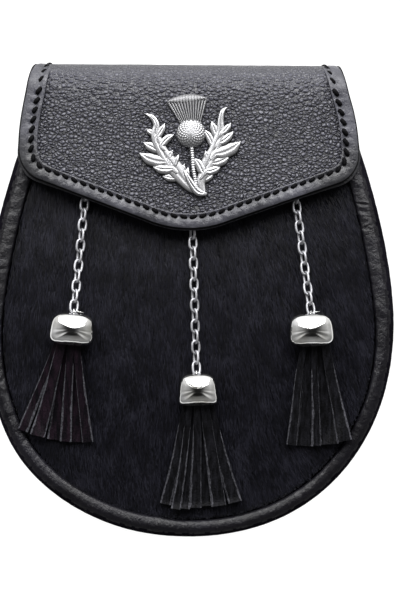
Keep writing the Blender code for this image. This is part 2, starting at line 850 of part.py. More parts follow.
def make_cap(side, silver):
    """A metal cap with its eye on top, hollow and open below for the tassel's head."""
    eye = bmesh.new()
    torus(eye, EYE_RADIUS, EYE_WIRE / 2, LINK_SEGMENTS, WIRE_SEGMENTS)
    eye.transform(Matrix.Translation((0, EYE_RISE, 0)) @ Matrix.Rotation(math.pi / 2, 4, "Y"))
    eye.transform(Matrix.Scale(MM, 4))
    shell = pillow_mesh(CAP_WIDTH, CAP_HEIGHT, CAP_DEPTH, CAP_CROWN)
    thinner = 2 * CAP_WALL
    hollow = pillow_mesh(CAP_WIDTH - thinner, CAP_HEIGHT * 2, CAP_DEPTH - thinner, 0.0)
    hollow.transform(Matrix.Translation((0, -CAP_ROOF * MM, 0)))
    cap = fuse(f"tassel_cap_{side}", [shell, mesh_from(eye)], silver, hollow, 35.0)
    frame = cap_frame(side)
    frame.translation *= MM
    cap.data.transform(frame)
    return cap


def strip_mesh(root, foot, width, layer):
    """One leather strip, falling from the cap's mouth to the fur or the rim."""
    across = (foot - root).cross(Vector((0, 0, 1))).normalized()
    fall = root.z - front_height(root.x, root.y) - GAP - STRIP * (layer + 1)

    def place(u, v):
        here = root.lerp(foot, v)
        side = across * (u - 0.5) * width * (ROOT_NARROWING + (1 - ROOT_NARROWING) * v)
        x, y = here.x + side.x, here.y + side.y
        ground = lying_height(x, y) + GAP + STRIP * (1.05 * layer + 1)
        return x, y, ground + fall * (1 - v) ** 2

    bm = grid(1, 4, place)
    bmesh.ops.recalc_face_normals(bm, faces=bm.faces)
    bmesh.ops.solidify(bm, geom=bm.faces[:], thickness=STRIP * MM)
    bmesh.ops.recalc_face_normals(bm, faces=bm.faces)
    return mesh_from(bm)


def make_tassel(side, suede):
    """A bundle of leather strips on the head that the cap holds."""
    frame = cap_frame(side)
    mouth = frame @ Vector((0, -CAP_HEIGHT, 0))
    head = pillow_mesh(HEAD_WIDTH, HEAD_TOP - HEAD_FOOT, HEAD_THICKNESS, 0.0)
    head.transform(Matrix.Translation((0, (HEAD_TOP - CAP_HEIGHT) * MM, 0)))
    rows = STRIPS[side]
    widest = max(abs(row[0]) for row in rows)
    meshes = [head]
    for foot_x, foot_y, width, layer in rows:
        root_in_cap = Vector((foot_x / widest * ROOT_SPREAD, HEAD_FOOT * 3 - CAP_HEIGHT, STRIP * layer))
        meshes.append(strip_mesh(frame @ root_in_cap, mouth + Vector((foot_x, foot_y, 0)), width, layer))
    frame.translation *= MM
    head.transform(frame)
    return fuse(f"tassel_{side}", meshes, suede, None, 30.0)


def make_rivet(side, silver):
    """The hidden rivet through a chain's top link."""
    middle = chain_frames(side)[-1].translation + hanger_axis(side) * WIRE * 0.9
    base = front_height(middle.x, middle.y) + GAP
    head = middle.z + RIVET_CLEARANCE - base
    profile = (
        (0, head + RIVET_HEAD),
        (RIVET_RADIUS * 0.7, head + RIVET_HEAD),
        (RIVET_RADIUS, head),
        (RIVET_SHANK, head),
        (RIVET_SHANK, 0),
        (0, 0),
    )
    place = (middle.x, middle.y, base)
    return turned(f"chain_rivet_{side}", profile, LINK_SEGMENTS, place, silver)


# ---------------------------------------------------------------- back and closure

def make_belt_loop(side, place_x, leather):
    """A plain strap standing off the back, sewn down at both ends, drawn from the side."""
    panel = -GAP
    outer = panel - LOOP_STRAP
    bridge = -LOOP_DROP
    round_off = LOOP_STRAP / 3
    inner_low = LOOP_SEW + LOOP_STRAP
    inner_high = inner_low + LOOP_TUNNEL
    end = inner_high + LOOP_STRAP + LOOP_SEW
    profile = (
        (0, panel),
        (inner_low, panel),
        (inner_low, bridge),
        (inner_high, bridge),
        (inner_high, panel),
        (end, panel),
        (end, outer),
        (inner_high + LOOP_STRAP, outer),
        (inner_high + LOOP_STRAP, bridge - LOOP_STRAP + round_off),
        (inner_high + LOOP_STRAP - round_off, bridge - LOOP_STRAP),
        (inner_low - LOOP_STRAP + round_off, bridge - LOOP_STRAP),
        (inner_low - LOOP_STRAP, bridge - LOOP_STRAP + round_off),
        (inner_low - LOOP_STRAP, outer),
        (0, outer),
    )
    curve = bpy.data.curves.new(f"belt_loop_{side}", "CURVE")
    curve.dimensions = "2D"
    curve.fill_mode = "BOTH"
    curve.extrude = LOOP_WIDTH / 2 * MM
    curve.materials.append(leather)
    spline = curve.splines.new("POLY")
    spline.points.add(len(profile) - 1)
    spline.use_cyclic_u = True
    for knot, (along, height) in zip(spline.points, profile):
        knot.co = (along * MM, height * MM, 0.0, 1.0)
    loop = bpy.data.objects.new(f"belt_loop_{side}", curve)
    part_collection.objects.link(loop)
    on_edge = Matrix(((0, 0, 1, 0), (1, 0, 0, 0), (0, 1, 0, 0), (0, 0, 0, 1)))
    place = Vector((place_x, LOOP_FOOT_Y, BACK_PLATEAU_Z)) * MM
    loop.matrix_world = Matrix.Translation(place) @ on_edge
    return loop


def make_closure_stud(fold, silver):
    """The hidden stud that stands between the front and the flap."""
    base = front_height(0, STUD_Y - STUD_FOOT_RADIUS) + GAP
    s = np.interp(STUD_Y, fold.y[:2], fold.s[:2])
    top = fold.at(0, s, 0)[2] - 2 * GAP - base
    profile = (
        (0, top),
        (STUD_HEAD_RADIUS, top),
        (STUD_HEAD_RADIUS, top - STUD_HEAD),
        (STUD_FOOT_RADIUS, top - STUD_HEAD * 1.6),
        (STUD_FOOT_RADIUS, 0),
        (0, 0),
    )
    return turned("closure_stud", profile, STUD_SIDES, (0, STUD_Y, base), silver)


# ---------------------------------------------------------------- the whole pouch

for leftover in list(bpy.data.objects):
    bpy.data.objects.remove(leftover)

part_collection = bpy.data.collections.new("sporran_pouch")
bpy.context.scene.collection.children.link(part_collection)


def main():
    hair = new_material("black_hair_on_hide", COLOURS["hair"], 0.55)
    leather = new_material("smooth_black_leather", COLOURS["smooth_leather"], 0.38)
    grain = new_material("pebble_grain_leather", COLOURS["grain_leather"], 0.45)
    suede = new_material("tassel_leather", COLOURS["suede"], 0.7)
    silver = new_material("polished_silver_plate", COLOURS["silver"], 0.15, 1.0)
    outline = body_track()
    fold = Fold()
    flap_outline = flap_track(fold.length)
    make_gusset(outline, leather)
    make_front_panel(outline, hair)
    make_back_panel(outline, leather)
    flap_sheet("flap_lining", flap_outline, fold, 0.0, LINING, LINING, leather)
    flap_sheet(
        "flap_panel", flap_outline, fold, BORDER_INSET + GRAIN_INSET, GRAIN_BASE + GRAIN, GRAIN, grain
    )
    make_flap_border(flap_outline, fold, leather)
    make_badge(fold, silver)
    for side in HANGERS:
        make_chain(side, silver)
        make_cap(side, silver)
        make_tassel(side, suede)
        make_rivet(side, silver)
    make_belt_loop("left", -LOOP_X, leather)
    make_belt_loop("right", LOOP_X, leather)
    make_closure_stud(fold, silver)


main()
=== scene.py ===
"""Sporran pouch: the finish of its leather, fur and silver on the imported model.

The pouch lies on its back. +Z is the way its front faces, +Y runs to the top fold of the flap and +X is
to the right as the front is looked at. Sizes are millimetres and become metres where a mesh is made.
"""

import math

import bmesh
import bpy
import numpy as np
from mathutils import Matrix, Vector


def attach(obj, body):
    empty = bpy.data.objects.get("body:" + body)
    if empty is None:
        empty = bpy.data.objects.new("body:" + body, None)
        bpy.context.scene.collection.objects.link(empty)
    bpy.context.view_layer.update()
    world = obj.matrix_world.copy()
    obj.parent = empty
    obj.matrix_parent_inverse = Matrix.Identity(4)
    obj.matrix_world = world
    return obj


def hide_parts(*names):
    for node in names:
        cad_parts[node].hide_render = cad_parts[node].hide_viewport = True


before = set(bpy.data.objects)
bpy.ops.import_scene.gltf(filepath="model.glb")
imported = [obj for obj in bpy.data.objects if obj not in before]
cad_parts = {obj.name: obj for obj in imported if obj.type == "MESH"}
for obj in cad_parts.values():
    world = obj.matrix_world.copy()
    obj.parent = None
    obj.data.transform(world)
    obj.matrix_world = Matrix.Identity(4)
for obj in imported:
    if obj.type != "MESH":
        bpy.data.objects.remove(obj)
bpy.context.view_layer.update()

MM = 0.001
SEED = 1745
DIRECTION_SPAN = 0.8    # a line's direction is taken over twice this length
LYING_GAP = 0.3         # between a loose piece and what it lies on

# Outline of the body, seen from the front
HALF_WIDTH = 96.1
WIDEST_Y = -9.6
BELLY_DEPTH = 101.6
BELLY_POWER = 2.15
UPPER_TAPER = 0.01133
UPPER_POWER = 1.65
MOUTH_Y = 99.0
PANEL_CORNER = 0.42
FRONT_TOP_Y = 93.0

# The rolled rims
RIM_TOP = 33.0
RIM_TOP_FALL = 5.2
FOOT_RIM_WIDTH = 7.9
SHOULDER_RIM_WIDTH = 10.0
REAR_RIM_WIDTH = 8.6
BELLY_ROLL = 1.1        # how much wider the front rim is at the lower left
BELLY_ROLL_Y = -98.0
BELLY_ROLL_SPREAD = 22.0

# Front and back panels
GROOVE = 2.9
DOME = 6.2
DOME_MIDDLE_Y = -25.0
DOME_SPREAD = 80.0
DOME_POWER = 2.6
BACK_EDGE_Z = 3.4
BACK_PLATEAU_Z = 6.4
BACK_SLOPE = 16.0

# Flap: distances along the leather are counted from the tip
TIP_Y = 32.7
TIP_RADIUS = 50.0
LOWER_EDGE_SLOPE = math.radians(21.2)
CORNER_RADIUS = 15.5
FLAP_CORNER_S = 27.0
FLAP_HALF_WIDTH = 79.9
TONGUE_HALF_WIDTH = 66.0
SHOULDER_RISE = 39.5
SHOULDER_POWER = 2.6
FOLD_TOP_Y = 108.4
FOLD_HALF_DEPTH = 12.5
FLAP_TIP_Z = 37.4
FLAP_SLOPE = math.radians(4.0)
CROWN = 5.0
CROWN_HALF_WIDTH = 76.0
TONGUE_LENGTH = 24.0
FLAP_STACK = 5.0
FLAP_FACE = 3.0
BADGE_BASE = 3.3
STITCH_PITCH = 4.5
STITCH_HALF_LENGTH = 1.5
STITCH_RADIUS = 0.95
FLAP_TIGHT = 66.0       # from here on the leather is pulled tight over the fold

# Chains and caps
WIRE = 1.0
LINK_LENGTH = 6.6
LINK_WIDTH = 4.3
LINK_PITCH = 4.86
LINK_TILTS = (math.radians(20.0), math.radians(-58.0))
LINK_CLIMB = 1.3
CHAIN_LIFT = 2.45
CAP_WIDTH = 17.4
CAP_HEIGHT = 13.8
CAP_DEPTH = 8.6
CAP_CROWN = 1.3
EYE_RADIUS = 1.75
EYE_WIRE = 0.9
EYE_RISE = 0.85
EYE_SEAT = 1.1
STRIP = 1.2
ROOT_SPREAD = 5.0
ROOT_NARROWING = 0.55
ROOT_DEPTH = 5.0        # how far the strips reach up into their cap


# ------------------------------------------------------------------ shapes of the body and the flap

def smooth(value):
    """Ease from 0 to 1."""
    value = np.clip(value, 0.0, 1.0)
    return value * value * (3 - 2 * value)


def half_width(y):
    """Half width of the body's outline."""
    rise = np.maximum(y - WIDEST_Y, 0.0)
    drop = np.clip((WIDEST_Y - y) / BELLY_DEPTH, 0.0, 1.0)
    belly = HALF_WIDTH * (1 - drop ** BELLY_POWER) ** (1 / BELLY_POWER)
    return np.where(y > WIDEST_Y, HALF_WIDTH - UPPER_TAPER * rise ** UPPER_POWER, belly)


def rim_width(y):
    """Width of the rolled front rim."""
    return FOOT_RIM_WIDTH + (SHOULDER_RIM_WIDTH - FOOT_RIM_WIDTH) * smooth((y + 45) / 70)


def rim_top(y):
    """Height of the front rim."""
    return RIM_TOP - RIM_TOP_FALL * smooth((y - 5) / 95)


def rear_rise(y):
    """How far the rear rim lifts under the flap's tongue."""
    return 5.6 * smooth((y - 14) / 54) + 2.6 * smooth((y - 84) / 16)


def body_fraction(x, y, inset):
    """0 on the middle line of the body, 1 on its outline drawn in by the inset."""
    upper = np.abs(x) / (half_width(np.maximum(y, WIDEST_Y)) - inset)
    across = np.abs(x) / (HALF_WIDTH - inset)
    down = np.maximum(WIDEST_Y - y, 0.0) / (BELLY_DEPTH - inset)
    lower = (across ** BELLY_POWER + down ** BELLY_POWER) ** (1 / BELLY_POWER)
    return np.where(y >= WIDEST_Y, upper, lower)


def front_height(x, y):
    """Height of the fur front."""
    fraction = np.minimum(body_fraction(x, y, rim_width(y)), 1.0)
    dome = DOME * np.exp(-((y - DOME_MIDDLE_Y) / DOME_SPREAD) ** 2)
    return rim_top(y) - GROOVE + dome * (1 - fraction ** DOME_POWER)


def lying_height(x, y):
    """Height of what a loose piece lies on: the fur, or the rim beside it."""
    fraction = body_fraction(x, y, rim_width(y))
    return front_height(x, y) + (GROOVE + 0.3) * smooth((fraction - 0.90) / 0.08)


def back_height(x, y):
    """Height of the back panel's outer face."""
    fraction = np.minimum(body_fraction(x, y, REAR_RIM_WIDTH), 1.0)
    inward = (1 - fraction) * HALF_WIDTH / BACK_SLOPE
    edge = BACK_EDGE_Z + 0.5 * rear_rise(y)
    return edge + (BACK_PLATEAU_Z - edge) * smooth(inward)


class Track:
    """A mirrored line from its left end through its lowest point to its right end."""

    def __init__(self, half_points):
        self.points = np.array(half_points)
        steps = np.hypot(*np.diff(self.points, axis=0).T)
        self.length = np.concatenate(([0.0], np.cumsum(steps)))
        self.half_length = self.length[-1]

    def at(self, place, inset=0.0):
        """Points at places from -1 (left end) to 1 (right end), drawn in by the inset."""
        place = np.asarray(place, float)
        reach = np.abs(place) * self.half_length
        low = np.clip(reach - DIRECTION_SPAN, 0, self.half_length)
        high = np.clip(reach + DIRECTION_SPAN, 0, self.half_length)
        x = np.interp(reach, self.length, self.points[:, 0])
        y = np.interp(reach, self.length, self.points[:, 1])
        along_x = np.interp(high, *self.column(0)) - np.interp(low, *self.column(0))
        along_y = np.interp(high, *self.column(1)) - np.interp(low, *self.column(1))
        along_y = along_y * np.minimum(reach / DIRECTION_SPAN, 1.0)
        size = np.hypot(along_x, along_y)
        x = x - inset * along_y / size
        y = y + inset * along_x / size
        return np.sign(place) * x, y

    def column(self, number):
        """Lengths from the lowest point, and the x (0) or y (1) at each of them."""
        return self.length, self.points[:, number]

    def place_of_height(self, y):
        """Place on the right side at height y."""
        return np.interp(y, self.points[:, 1], self.length) / self.half_length


def body_track():
    """The body's outline from the foot to the mouth."""
    turns = np.linspace(math.pi / 2, 0, 240)
    belly_x = HALF_WIDTH * np.maximum(np.cos(turns), 0) ** (2 / BELLY_POWER)
    belly_y = WIDEST_Y - BELLY_DEPTH * np.maximum(np.sin(turns), 0) ** (2 / BELLY_POWER)
    side_y = np.linspace(WIDEST_Y, MOUTH_Y, 120)[1:]
    return Track([*zip(belly_x, belly_y), *zip(half_width(side_y), side_y)])


def flap_half_width(rise):
    """Half width of the flap above its lower corners."""
    spread = FLAP_HALF_WIDTH - TONGUE_HALF_WIDTH
    return TONGUE_HALF_WIDTH + spread / (1 + (np.maximum(rise, 0) / SHOULDER_RISE) ** SHOULDER_POWER)


def flap_track(length):
    """The flap's outline laid out flat, from the tip to the end of the tongue."""
    slope = LOWER_EDGE_SLOPE
    turns = np.linspace(0, slope, 12)
    tip = [*zip(TIP_RADIUS * np.sin(turns), TIP_RADIUS * (1 - np.cos(turns)))]
    line_x, line_s = tip[-1]
    corner_x = FLAP_HALF_WIDTH - CORNER_RADIUS
    corner_s = line_s + (corner_x - line_x) * math.tan(slope) + CORNER_RADIUS / math.cos(slope)
    turns = np.linspace(slope, math.pi / 2, 24)
    corner = [*zip(corner_x + CORNER_RADIUS * np.sin(turns), corner_s - CORNER_RADIUS * np.cos(turns))]
    side_s = np.linspace(corner_s, length, 160)[1:]
    return Track(tip + corner + [*zip(flap_half_width(side_s - corner_s), side_s)])


class Fold:
    """Side view of the flap's inner face: straight over the front, round the fold, down the back."""

    def __init__(self):
        middle_y = FOLD_TOP_Y - FOLD_HALF_DEPTH
        front_end_z = FLAP_TIP_Z - (middle_y - TIP_Y) * math.tan(FLAP_SLOPE)
        half_height = (front_end_z - FLAP_STACK) / 2
        start = math.atan2(half_height, FOLD_HALF_DEPTH * math.tan(FLAP_SLOPE))
        turns = np.linspace(start, -math.pi / 2, 90)
        arc_y = middle_y + FOLD_HALF_DEPTH * np.cos(turns)
        arc_z = FLAP_STACK + half_height + half_height * np.sin(turns)
        tip_z = arc_z[0] + (arc_y[0] - TIP_Y) * math.tan(FLAP_SLOPE)
        self.y = np.concatenate(([TIP_Y], arc_y, [middle_y - TONGUE_LENGTH]))
        self.z = np.concatenate(([tip_z], arc_z, [FLAP_STACK]))
        self.s = np.concatenate(([0.0], np.cumsum(np.hypot(np.diff(self.y), np.diff(self.z)))))
        self.start, self.end, self.length = self.s[1], self.s[-2], self.s[-1]

    def at(self, x, s, height):
        """Points of the flap at x, s along the leather and a height above the inner face. Its lower
        corners sag, the right one more, and its sides lean a little to the left above them."""
        x, s, height = np.broadcast_arrays(np.asarray(x, float), s, height)
        sag = 0.032 * np.maximum(x - 20, 0) + 0.014 * np.maximum(-x - 20, 0)
        s = s - sag * (1 - smooth((s - 20) / 50))
        lean = 0.9 * smooth((s - 50) / 25) + 0.9 * smooth((s - 30) / 25) * smooth(x / 60)
        x = x - lean * smooth((np.abs(x) - 25) / 30)
        y = np.interp(s, self.s, self.y)
        z = np.interp(s, self.s, self.z)
        low = np.clip(s - DIRECTION_SPAN, 0, self.length)
        high = np.clip(s + DIRECTION_SPAN, 0, self.length)
        along_y = np.interp(high, self.s, self.y) - np.interp(low, self.s, self.y)
        along_z = np.interp(high, self.s, self.z) - np.interp(low, self.s, self.z)
        size = np.hypot(along_y, along_z)
        out_y, out_z = -along_z / size, along_y / size
        crown = CROWN * np.maximum(out_z, 0) ** 2 * (np.abs(x) / CROWN_HALF_WIDTH) ** 3
        return np.stack((x, y + height * out_y, z + height * out_z - crown), axis=-1)


BODY = body_track()
FOLD = Fold()
FLAP = flap_track(FOLD.length)


def panel_patch(u, v, inset, top=1.0):
    """Points of a panel whose foot and sides follow the body and whose top edge is straight."""
    foot_x, foot_y = BODY.at((2 * u - 1) * PANEL_CORNER, inset)
    corner_x, corner_y = BODY.at(PANEL_CORNER, inset)
    side_x, side_y = BODY.at(PANEL_CORNER + (top - PANEL_CORNER) * v, inset)
    return side_x * foot_x / corner_x, side_y + (1 - v) * (foot_y - corner_y)


def flap_patch(u, v, inset):
    """Places x and s of a full layer of the flap, v running along the leather."""
    corner = FLAP.place_of_height(FLAP_CORNER_S)
    foot_x, foot_s = FLAP.at(corner, inset)
    knots = (0, 0.34, 0.8, 1.0)
    side_s = np.interp(v, knots, (foot_s, FOLD.start, FOLD.end, FOLD.length - inset))
    side_x = FLAP.at(np.maximum(FLAP.place_of_height(side_s), corner), inset)[0]
    side_x = np.where(v == 0, foot_x, side_x)
    edge_x, edge_s = FLAP.at((2 * u - 1) * corner, inset)
    dip = np.maximum(1 - v / knots[1], 0.0) * (edge_s - foot_s)
    return side_x * edge_x / foot_x, side_s + dip


def unevenness(x, y, size, seed):
    """Smooth unevenness from -1 to 1 whose bumps have about that size."""
    knots, far = 61, 500
    table = np.random.default_rng(SEED + seed).uniform(-1, 1, (knots, knots))
    across, up = np.asarray(x) / size + far, np.asarray(y) / size + far
    column, row = np.floor(across).astype(int), np.floor(up).astype(int)
    part_x, part_y = smooth(across - column), smooth(up - row)
    row, row_above = row % knots, (row + 1) % knots
    column, column_beside = column % knots, (column + 1) % knots
    low = table[row, column] * (1 - part_x) + table[row, column_beside] * part_x
    high = table[row_above, column] * (1 - part_x) + table[row_above, column_beside] * part_x
    return low * (1 - part_y) + high * part_y


def curve_weights(count, at):
    """Weights of evenly placed knots on a smooth curve through them, one row for each place at."""
    weights = np.zeros((len(at), count))
    for row, place in enumerate(np.asarray(at) * (count - 1)):
        knot = min(int(place), count - 2)
        t = place - knot
        shares = (
            -0.5 * t ** 3 + t * t - 0.5 * t,
            1.5 * t ** 3 - 2.5 * t * t + 1,
            -1.5 * t ** 3 + 2 * t * t + 0.5 * t,
            0.5 * t ** 3 - 0.5 * t * t,
        )
        for step, share in zip((-1, 0, 1, 2), shares):
            weights[row, min(max(knot + step, 0), count - 1)] += share
    return weights


# ------------------------------------------------------------------ finishes

# The kinds of node that the finishes are made of
PLACE = "ShaderNodeTexCoord"
LAY = "ShaderNodeUVMap"
NOISE = "ShaderNodeTexNoise"
CELLS = "ShaderNodeTexVoronoi"
WAVE = "ShaderNodeTexWave"
RAMP = "ShaderNodeValToRGB"
RANGE = "ShaderNodeMapRange"
MATH = "ShaderNodeMath"
VECTOR = "ShaderNodeVectorMath"
STRETCH = "ShaderNodeMapping"
PARTS = "ShaderNodeSeparateXYZ"
BUMP = "ShaderNodeBump"


def linear(hex_colour):
    """A #rrggbb colour of the screen as the linear colour that a shader takes."""
    parts = [int(hex_colour[k:k + 2], 16) / 255 for k in (1, 3, 5)]
    parts = [part / 12.92 if part <= 0.04045 else ((part + 0.055) / 1.055) ** 2.4 for part in parts]
    return (*parts, 1.0)


def grey(value):
    """A linear grey, for a ramp that carries a number."""
    return (value, value, value, 1.0)


def per_mm(size):
    """Pattern scale that gives features of that many millimetres."""
    return 1000.0 / size


def add(tree, kind, output, inputs=None, stops=None, **settings):
    """Add one node to a finish, with its values, its links, a ramp's stops (place, colour) and its
    settings, and give one of its outputs."""
    node = tree.nodes.new(kind)
    for name, value in settings.items():
        setattr(node, name, value)
    for name, value in (inputs or {}).items():
        if isinstance(value, bpy.types.NodeSocket):
            tree.links.new(value, node.inputs[name])
        else:
            node.inputs[name].default_value = value
    if stops:
        elements = node.color_ramp.elements
        elements[0].position, elements[0].color = stops[0]
        elements[1].position, elements[1].color = stops[-1]
        for place, colour in stops[1:-1]:
            elements.new(place).color = colour
    return node.outputs[output]


def finish(name, **values):
    """A new finish with its shader's constant values; gives the material, its tree and its shader."""
    material = bpy.data.materials.new(name)
    material.use_nodes = True
    shader = material.node_tree.nodes["Principled BSDF"]
    for socket, value in values.items():
        shader.inputs[socket.replace("_", " ")].default_value = value
    return material, material.node_tree, shader


def lead(tree, shader, **outputs):
    """Lead outputs of the finish's nodes into its shader."""
    for socket, output in outputs.items():
        tree.links.new(output, shader.inputs[socket.replace("_", " ")])


def smooth_calf(name, dark, light, crease_mm, shine, wax, shaded_corner=None):
    """Aniline-dyed black calf, plated smooth: fine crinkles with a soft waxy shine that breaks up
    over them, and a slightly greyer bloom where it has been rubbed. Its colour is painted darker,
    as shade where a border turns from the light, round a point if one is given and its mirror image."""
    material, tree, shader = finish(name, Roughness=0.4, IOR=1.5, Specular_IOR_Level=wax)
    place = add(tree, PLACE, "Object")
    rubbed = add(tree, NOISE, "Fac", {
        "Vector": place, "Scale": per_mm(22), "Detail": 3.0, "Roughness": 0.6})
    crinkle = add(tree, NOISE, "Fac", {
        "Vector": place, "Scale": per_mm(crease_mm), "Detail": 5.0, "Roughness": 0.62, "Distortion": 0.6})
    pores = add(tree, CELLS, "Distance", {"Vector": place, "Scale": per_mm(0.7)}, feature="F1")
    colour = add(tree, RAMP, "Color", {"Fac": rubbed}, [(0.35, linear(dark)), (0.7, linear(light))])
    # painted shade: the colour is darkened round the border's lower corners, which turn away from the light
    if shaded_corner:
        flat = add(tree, VECTOR, "Vector", {0: place, 1: (1.0, 1.0, 0.0)}, operation="MULTIPLY")
        mirrored = add(tree, VECTOR, "Vector", {0: flat}, operation="ABSOLUTE")
        away = add(tree, VECTOR, "Value", {
            0: mirrored, 1: (shaded_corner[0] * MM, shaded_corner[1] * MM, 0.0)}, operation="DISTANCE")
        painted_corner_shade = add(tree, RANGE, "Result", {
            "Value": away, "From Min": 5 * MM, "From Max": 22 * MM, "To Min": 0.28, "To Max": 1.0})
        colour = add(tree, VECTOR, "Vector", {0: colour, 1: painted_corner_shade}, operation="MULTIPLY")
    gloss = add(tree, RAMP, "Color", {"Fac": crinkle}, [(0.3, grey(shine[0])), (0.75, grey(shine[1]))])
    fine = add(tree, BUMP, "Normal", {"Height": pores, "Strength": 0.12, "Distance": 0.2 * MM})
    creased = add(tree, BUMP, "Normal", {
        "Height": crinkle, "Strength": 0.7, "Distance": 0.7 * MM, "Normal": fine})
    lead(tree, shader, Base_Color=colour, Roughness=gloss, Normal=creased)
    return material


def pebbled_cowhide():
    """Drum-milled cowhide with a pebble grain: rounded pebbles of about 1.5 mm that catch the light,
    parted by sunken creases whose colour is painted near black as their shade. The creases are
    pulled flat over the top fold, where the colour is also painted darker as shade."""
    material, tree, shader = finish("pebbled_cowhide", Roughness=0.34, IOR=1.58)
    place = add(tree, PLACE, "Object")
    waver = add(tree, NOISE, "Color", {"Vector": place, "Scale": per_mm(3.4), "Detail": 3.0})
    bent = add(tree, VECTOR, "Vector", {0: waver, 1: (2.2 * MM, 2.2 * MM, 2.2 * MM)}, operation="MULTIPLY")
    moved_place = add(tree, VECTOR, "Vector", {0: place, 1: bent}, operation="ADD")
    here = add(tree, STRETCH, "Vector", {"Vector": moved_place, "Scale": (0.74, 1.0, 1.0)})
    grain = {"Vector": here, "Scale": per_mm(1.5), "Randomness": 1.0}
    pebbles = add(tree, CELLS, "Distance", {**grain, "Smoothness": 0.25}, feature="SMOOTH_F1")
    creases = add(tree, CELLS, "Distance", grain, feature="DISTANCE_TO_EDGE")
    fine = add(tree, NOISE, "Fac", {"Vector": place, "Scale": per_mm(0.6), "Detail": 3.0})
    crease = add(tree, RAMP, "Color", {"Fac": creases}, [(0.0, grey(0.0)), (0.2, grey(1.0))])
    up_flap = add(tree, PARTS, "Y", {"Vector": place})
    pulled = add(tree, RANGE, "Result", {
        "Value": up_flap, "From Min": 86 * MM, "From Max": 108 * MM, "To Max": 0.55})
    valley = add(tree, MATH, "Value", {0: crease, 1: pulled}, operation="MAXIMUM")
    # painted shade: the creases are coloured near black for the shade in them, besides their bump
    colour = add(tree, RAMP, "Color", {"Fac": valley}, [(0.0, linear("#040406")), (1.0, linear("#42424c"))])
    # painted shade: the colour is darkened over the top fold, where it turns away from the light
    fold_shade = add(tree, RANGE, "Result", {
        "Value": up_flap, "From Min": 106 * MM, "From Max": 111 * MM, "To Min": 1.0, "To Max": 0.45})
    fold_shaded_colour = add(tree, VECTOR, "Vector", {0: colour, 1: fold_shade}, operation="MULTIPLY")
    shine = add(tree, RAMP, "Color", {"Fac": fine}, [(0.3, grey(0.36)), (0.7, grey(0.5))])
    skin = add(tree, BUMP, "Normal", {"Height": fine, "Strength": 0.25, "Distance": 0.15 * MM})
    domes = add(tree, BUMP, "Normal", {
        "Height": pebbles, "Strength": 1.0, "Distance": 1.05 * MM, "Normal": skin}, invert=True)
    cuts = add(tree, BUMP, "Normal", {
        "Height": valley, "Strength": 0.9, "Distance": 0.4 * MM, "Normal": domes})
    lead(tree, shader, Base_Color=fold_shaded_colour, Roughness=shine, Normal=cuts)
    return material


def raw_edge(name, dark, light):
    """A cut edge of leather: paler, matt fibres where the dye hasn't gone through."""
    material, tree, shader = finish(name, Roughness=0.8, IOR=1.45, Specular_IOR_Level=0.12)
    place = add(tree, PLACE, "Object")
    fibres = add(tree, NOISE, "Fac", {
        "Vector": place, "Scale": per_mm(1.2), "Detail": 4.0, "Roughness": 0.7})
    colour = add(tree, RAMP, "Color", {"Fac": fibres}, [(0.36, linear(dark)), (0.6, linear(light))])
    rough = add(tree, BUMP, "Normal", {"Height": fibres, "Strength": 0.5, "Distance": 0.2 * MM})
    lead(tree, shader, Base_Color=colour, Normal=rough)
    return material


def tassel_leather(name, dark, light):
    """Soft drum-dyed side leather: a low, even shine, and long soft creases down the strip."""
    material, tree, shader = finish(name, Roughness=0.55, IOR=1.5, Specular_IOR_Level=0.06)
    place = add(tree, PLACE, "Object")
    down = add(tree, STRETCH, "Vector", {"Vector": place, "Scale": (1.0, 0.12, 1.0)})
    streaks = add(tree, NOISE, "Fac", {
        "Vector": down, "Scale": per_mm(1.4), "Detail": 5.0, "Roughness": 0.65})
    grain = add(tree, NOISE, "Fac", {"Vector": place, "Scale": per_mm(0.9), "Detail": 4.0})
    colour = add(tree, RAMP, "Color", {"Fac": streaks}, [(0.4, linear(dark)), (0.68, linear(light))])
    skin = add(tree, BUMP, "Normal", {"Height": grain, "Strength": 0.9, "Distance": 0.4 * MM})
    lead(tree, shader, Base_Color=colour, Normal=skin)
    return material


def waxed_thread():
    """Waxed linen thread, black: two twisted plies with a faint waxy gleam."""
    material, tree, shader = finish(
        "waxed_linen_thread", Roughness=0.6, IOR=1.45, Specular_IOR_Level=0.08)
    lay = add(tree, LAY, "UV", uv_map="lay")
    twist = add(tree, WAVE, "Fac", {
        "Vector": lay, "Scale": 1.6, "Distortion": 0.4}, bands_direction="DIAGONAL")
    colour = add(tree, RAMP, "Color", {"Fac": twist}, [(0.2, linear("#010102")), (0.9, linear("#060608"))])
    plies = add(tree, BUMP, "Normal", {"Height": twist, "Strength": 0.5, "Distance": 0.15 * MM})
    lead(tree, shader, Base_Color=colour, Normal=plies)
    return material


def pony_hair(name, dark, light, roughness):
    """Short black hair of a pony hide: softly glossy, blue-black, no two hairs quite alike."""
    material, tree, shader = finish(name, Roughness=roughness, IOR=1.55, Specular_IOR_Level=0.07)
    lay = add(tree, LAY, "UV", uv_map="lay")
    shade = add(tree, PARTS, "X", {"Vector": lay})
    colour = add(tree, RAMP, "Color", {"Fac": shade}, [
        (0.0, linear(dark)), (0.7, linear(light)), (1.0, linear("#1e1e25"))])
    lead(tree, shader, Base_Color=colour)
    return material


def hair_roots():
    """The hide under the hair: almost black, broken into short strokes that run down with the hair."""
    material, tree, shader = finish(
        "hide_under_the_hair", Roughness=0.6, IOR=1.45, Specular_IOR_Level=0.08)
    place = add(tree, PLACE, "Object")
    down = add(tree, STRETCH, "Vector", {"Vector": place, "Scale": (1.0, 0.1, 1.0)})
    strokes = add(tree, NOISE, "Fac", {"Vector": down, "Scale": per_mm(0.8), "Detail": 3.0})
    colour = add(tree, RAMP, "Color", {"Fac": strokes}, [
        (0.3, linear("#050507")), (0.7, linear("#101015"))])
    rough = add(tree, BUMP, "Normal", {"Height": strokes, "Strength": 0.8, "Distance": 0.4 * MM})
    lead(tree, shader, Base_Color=colour, Normal=rough)
    return material


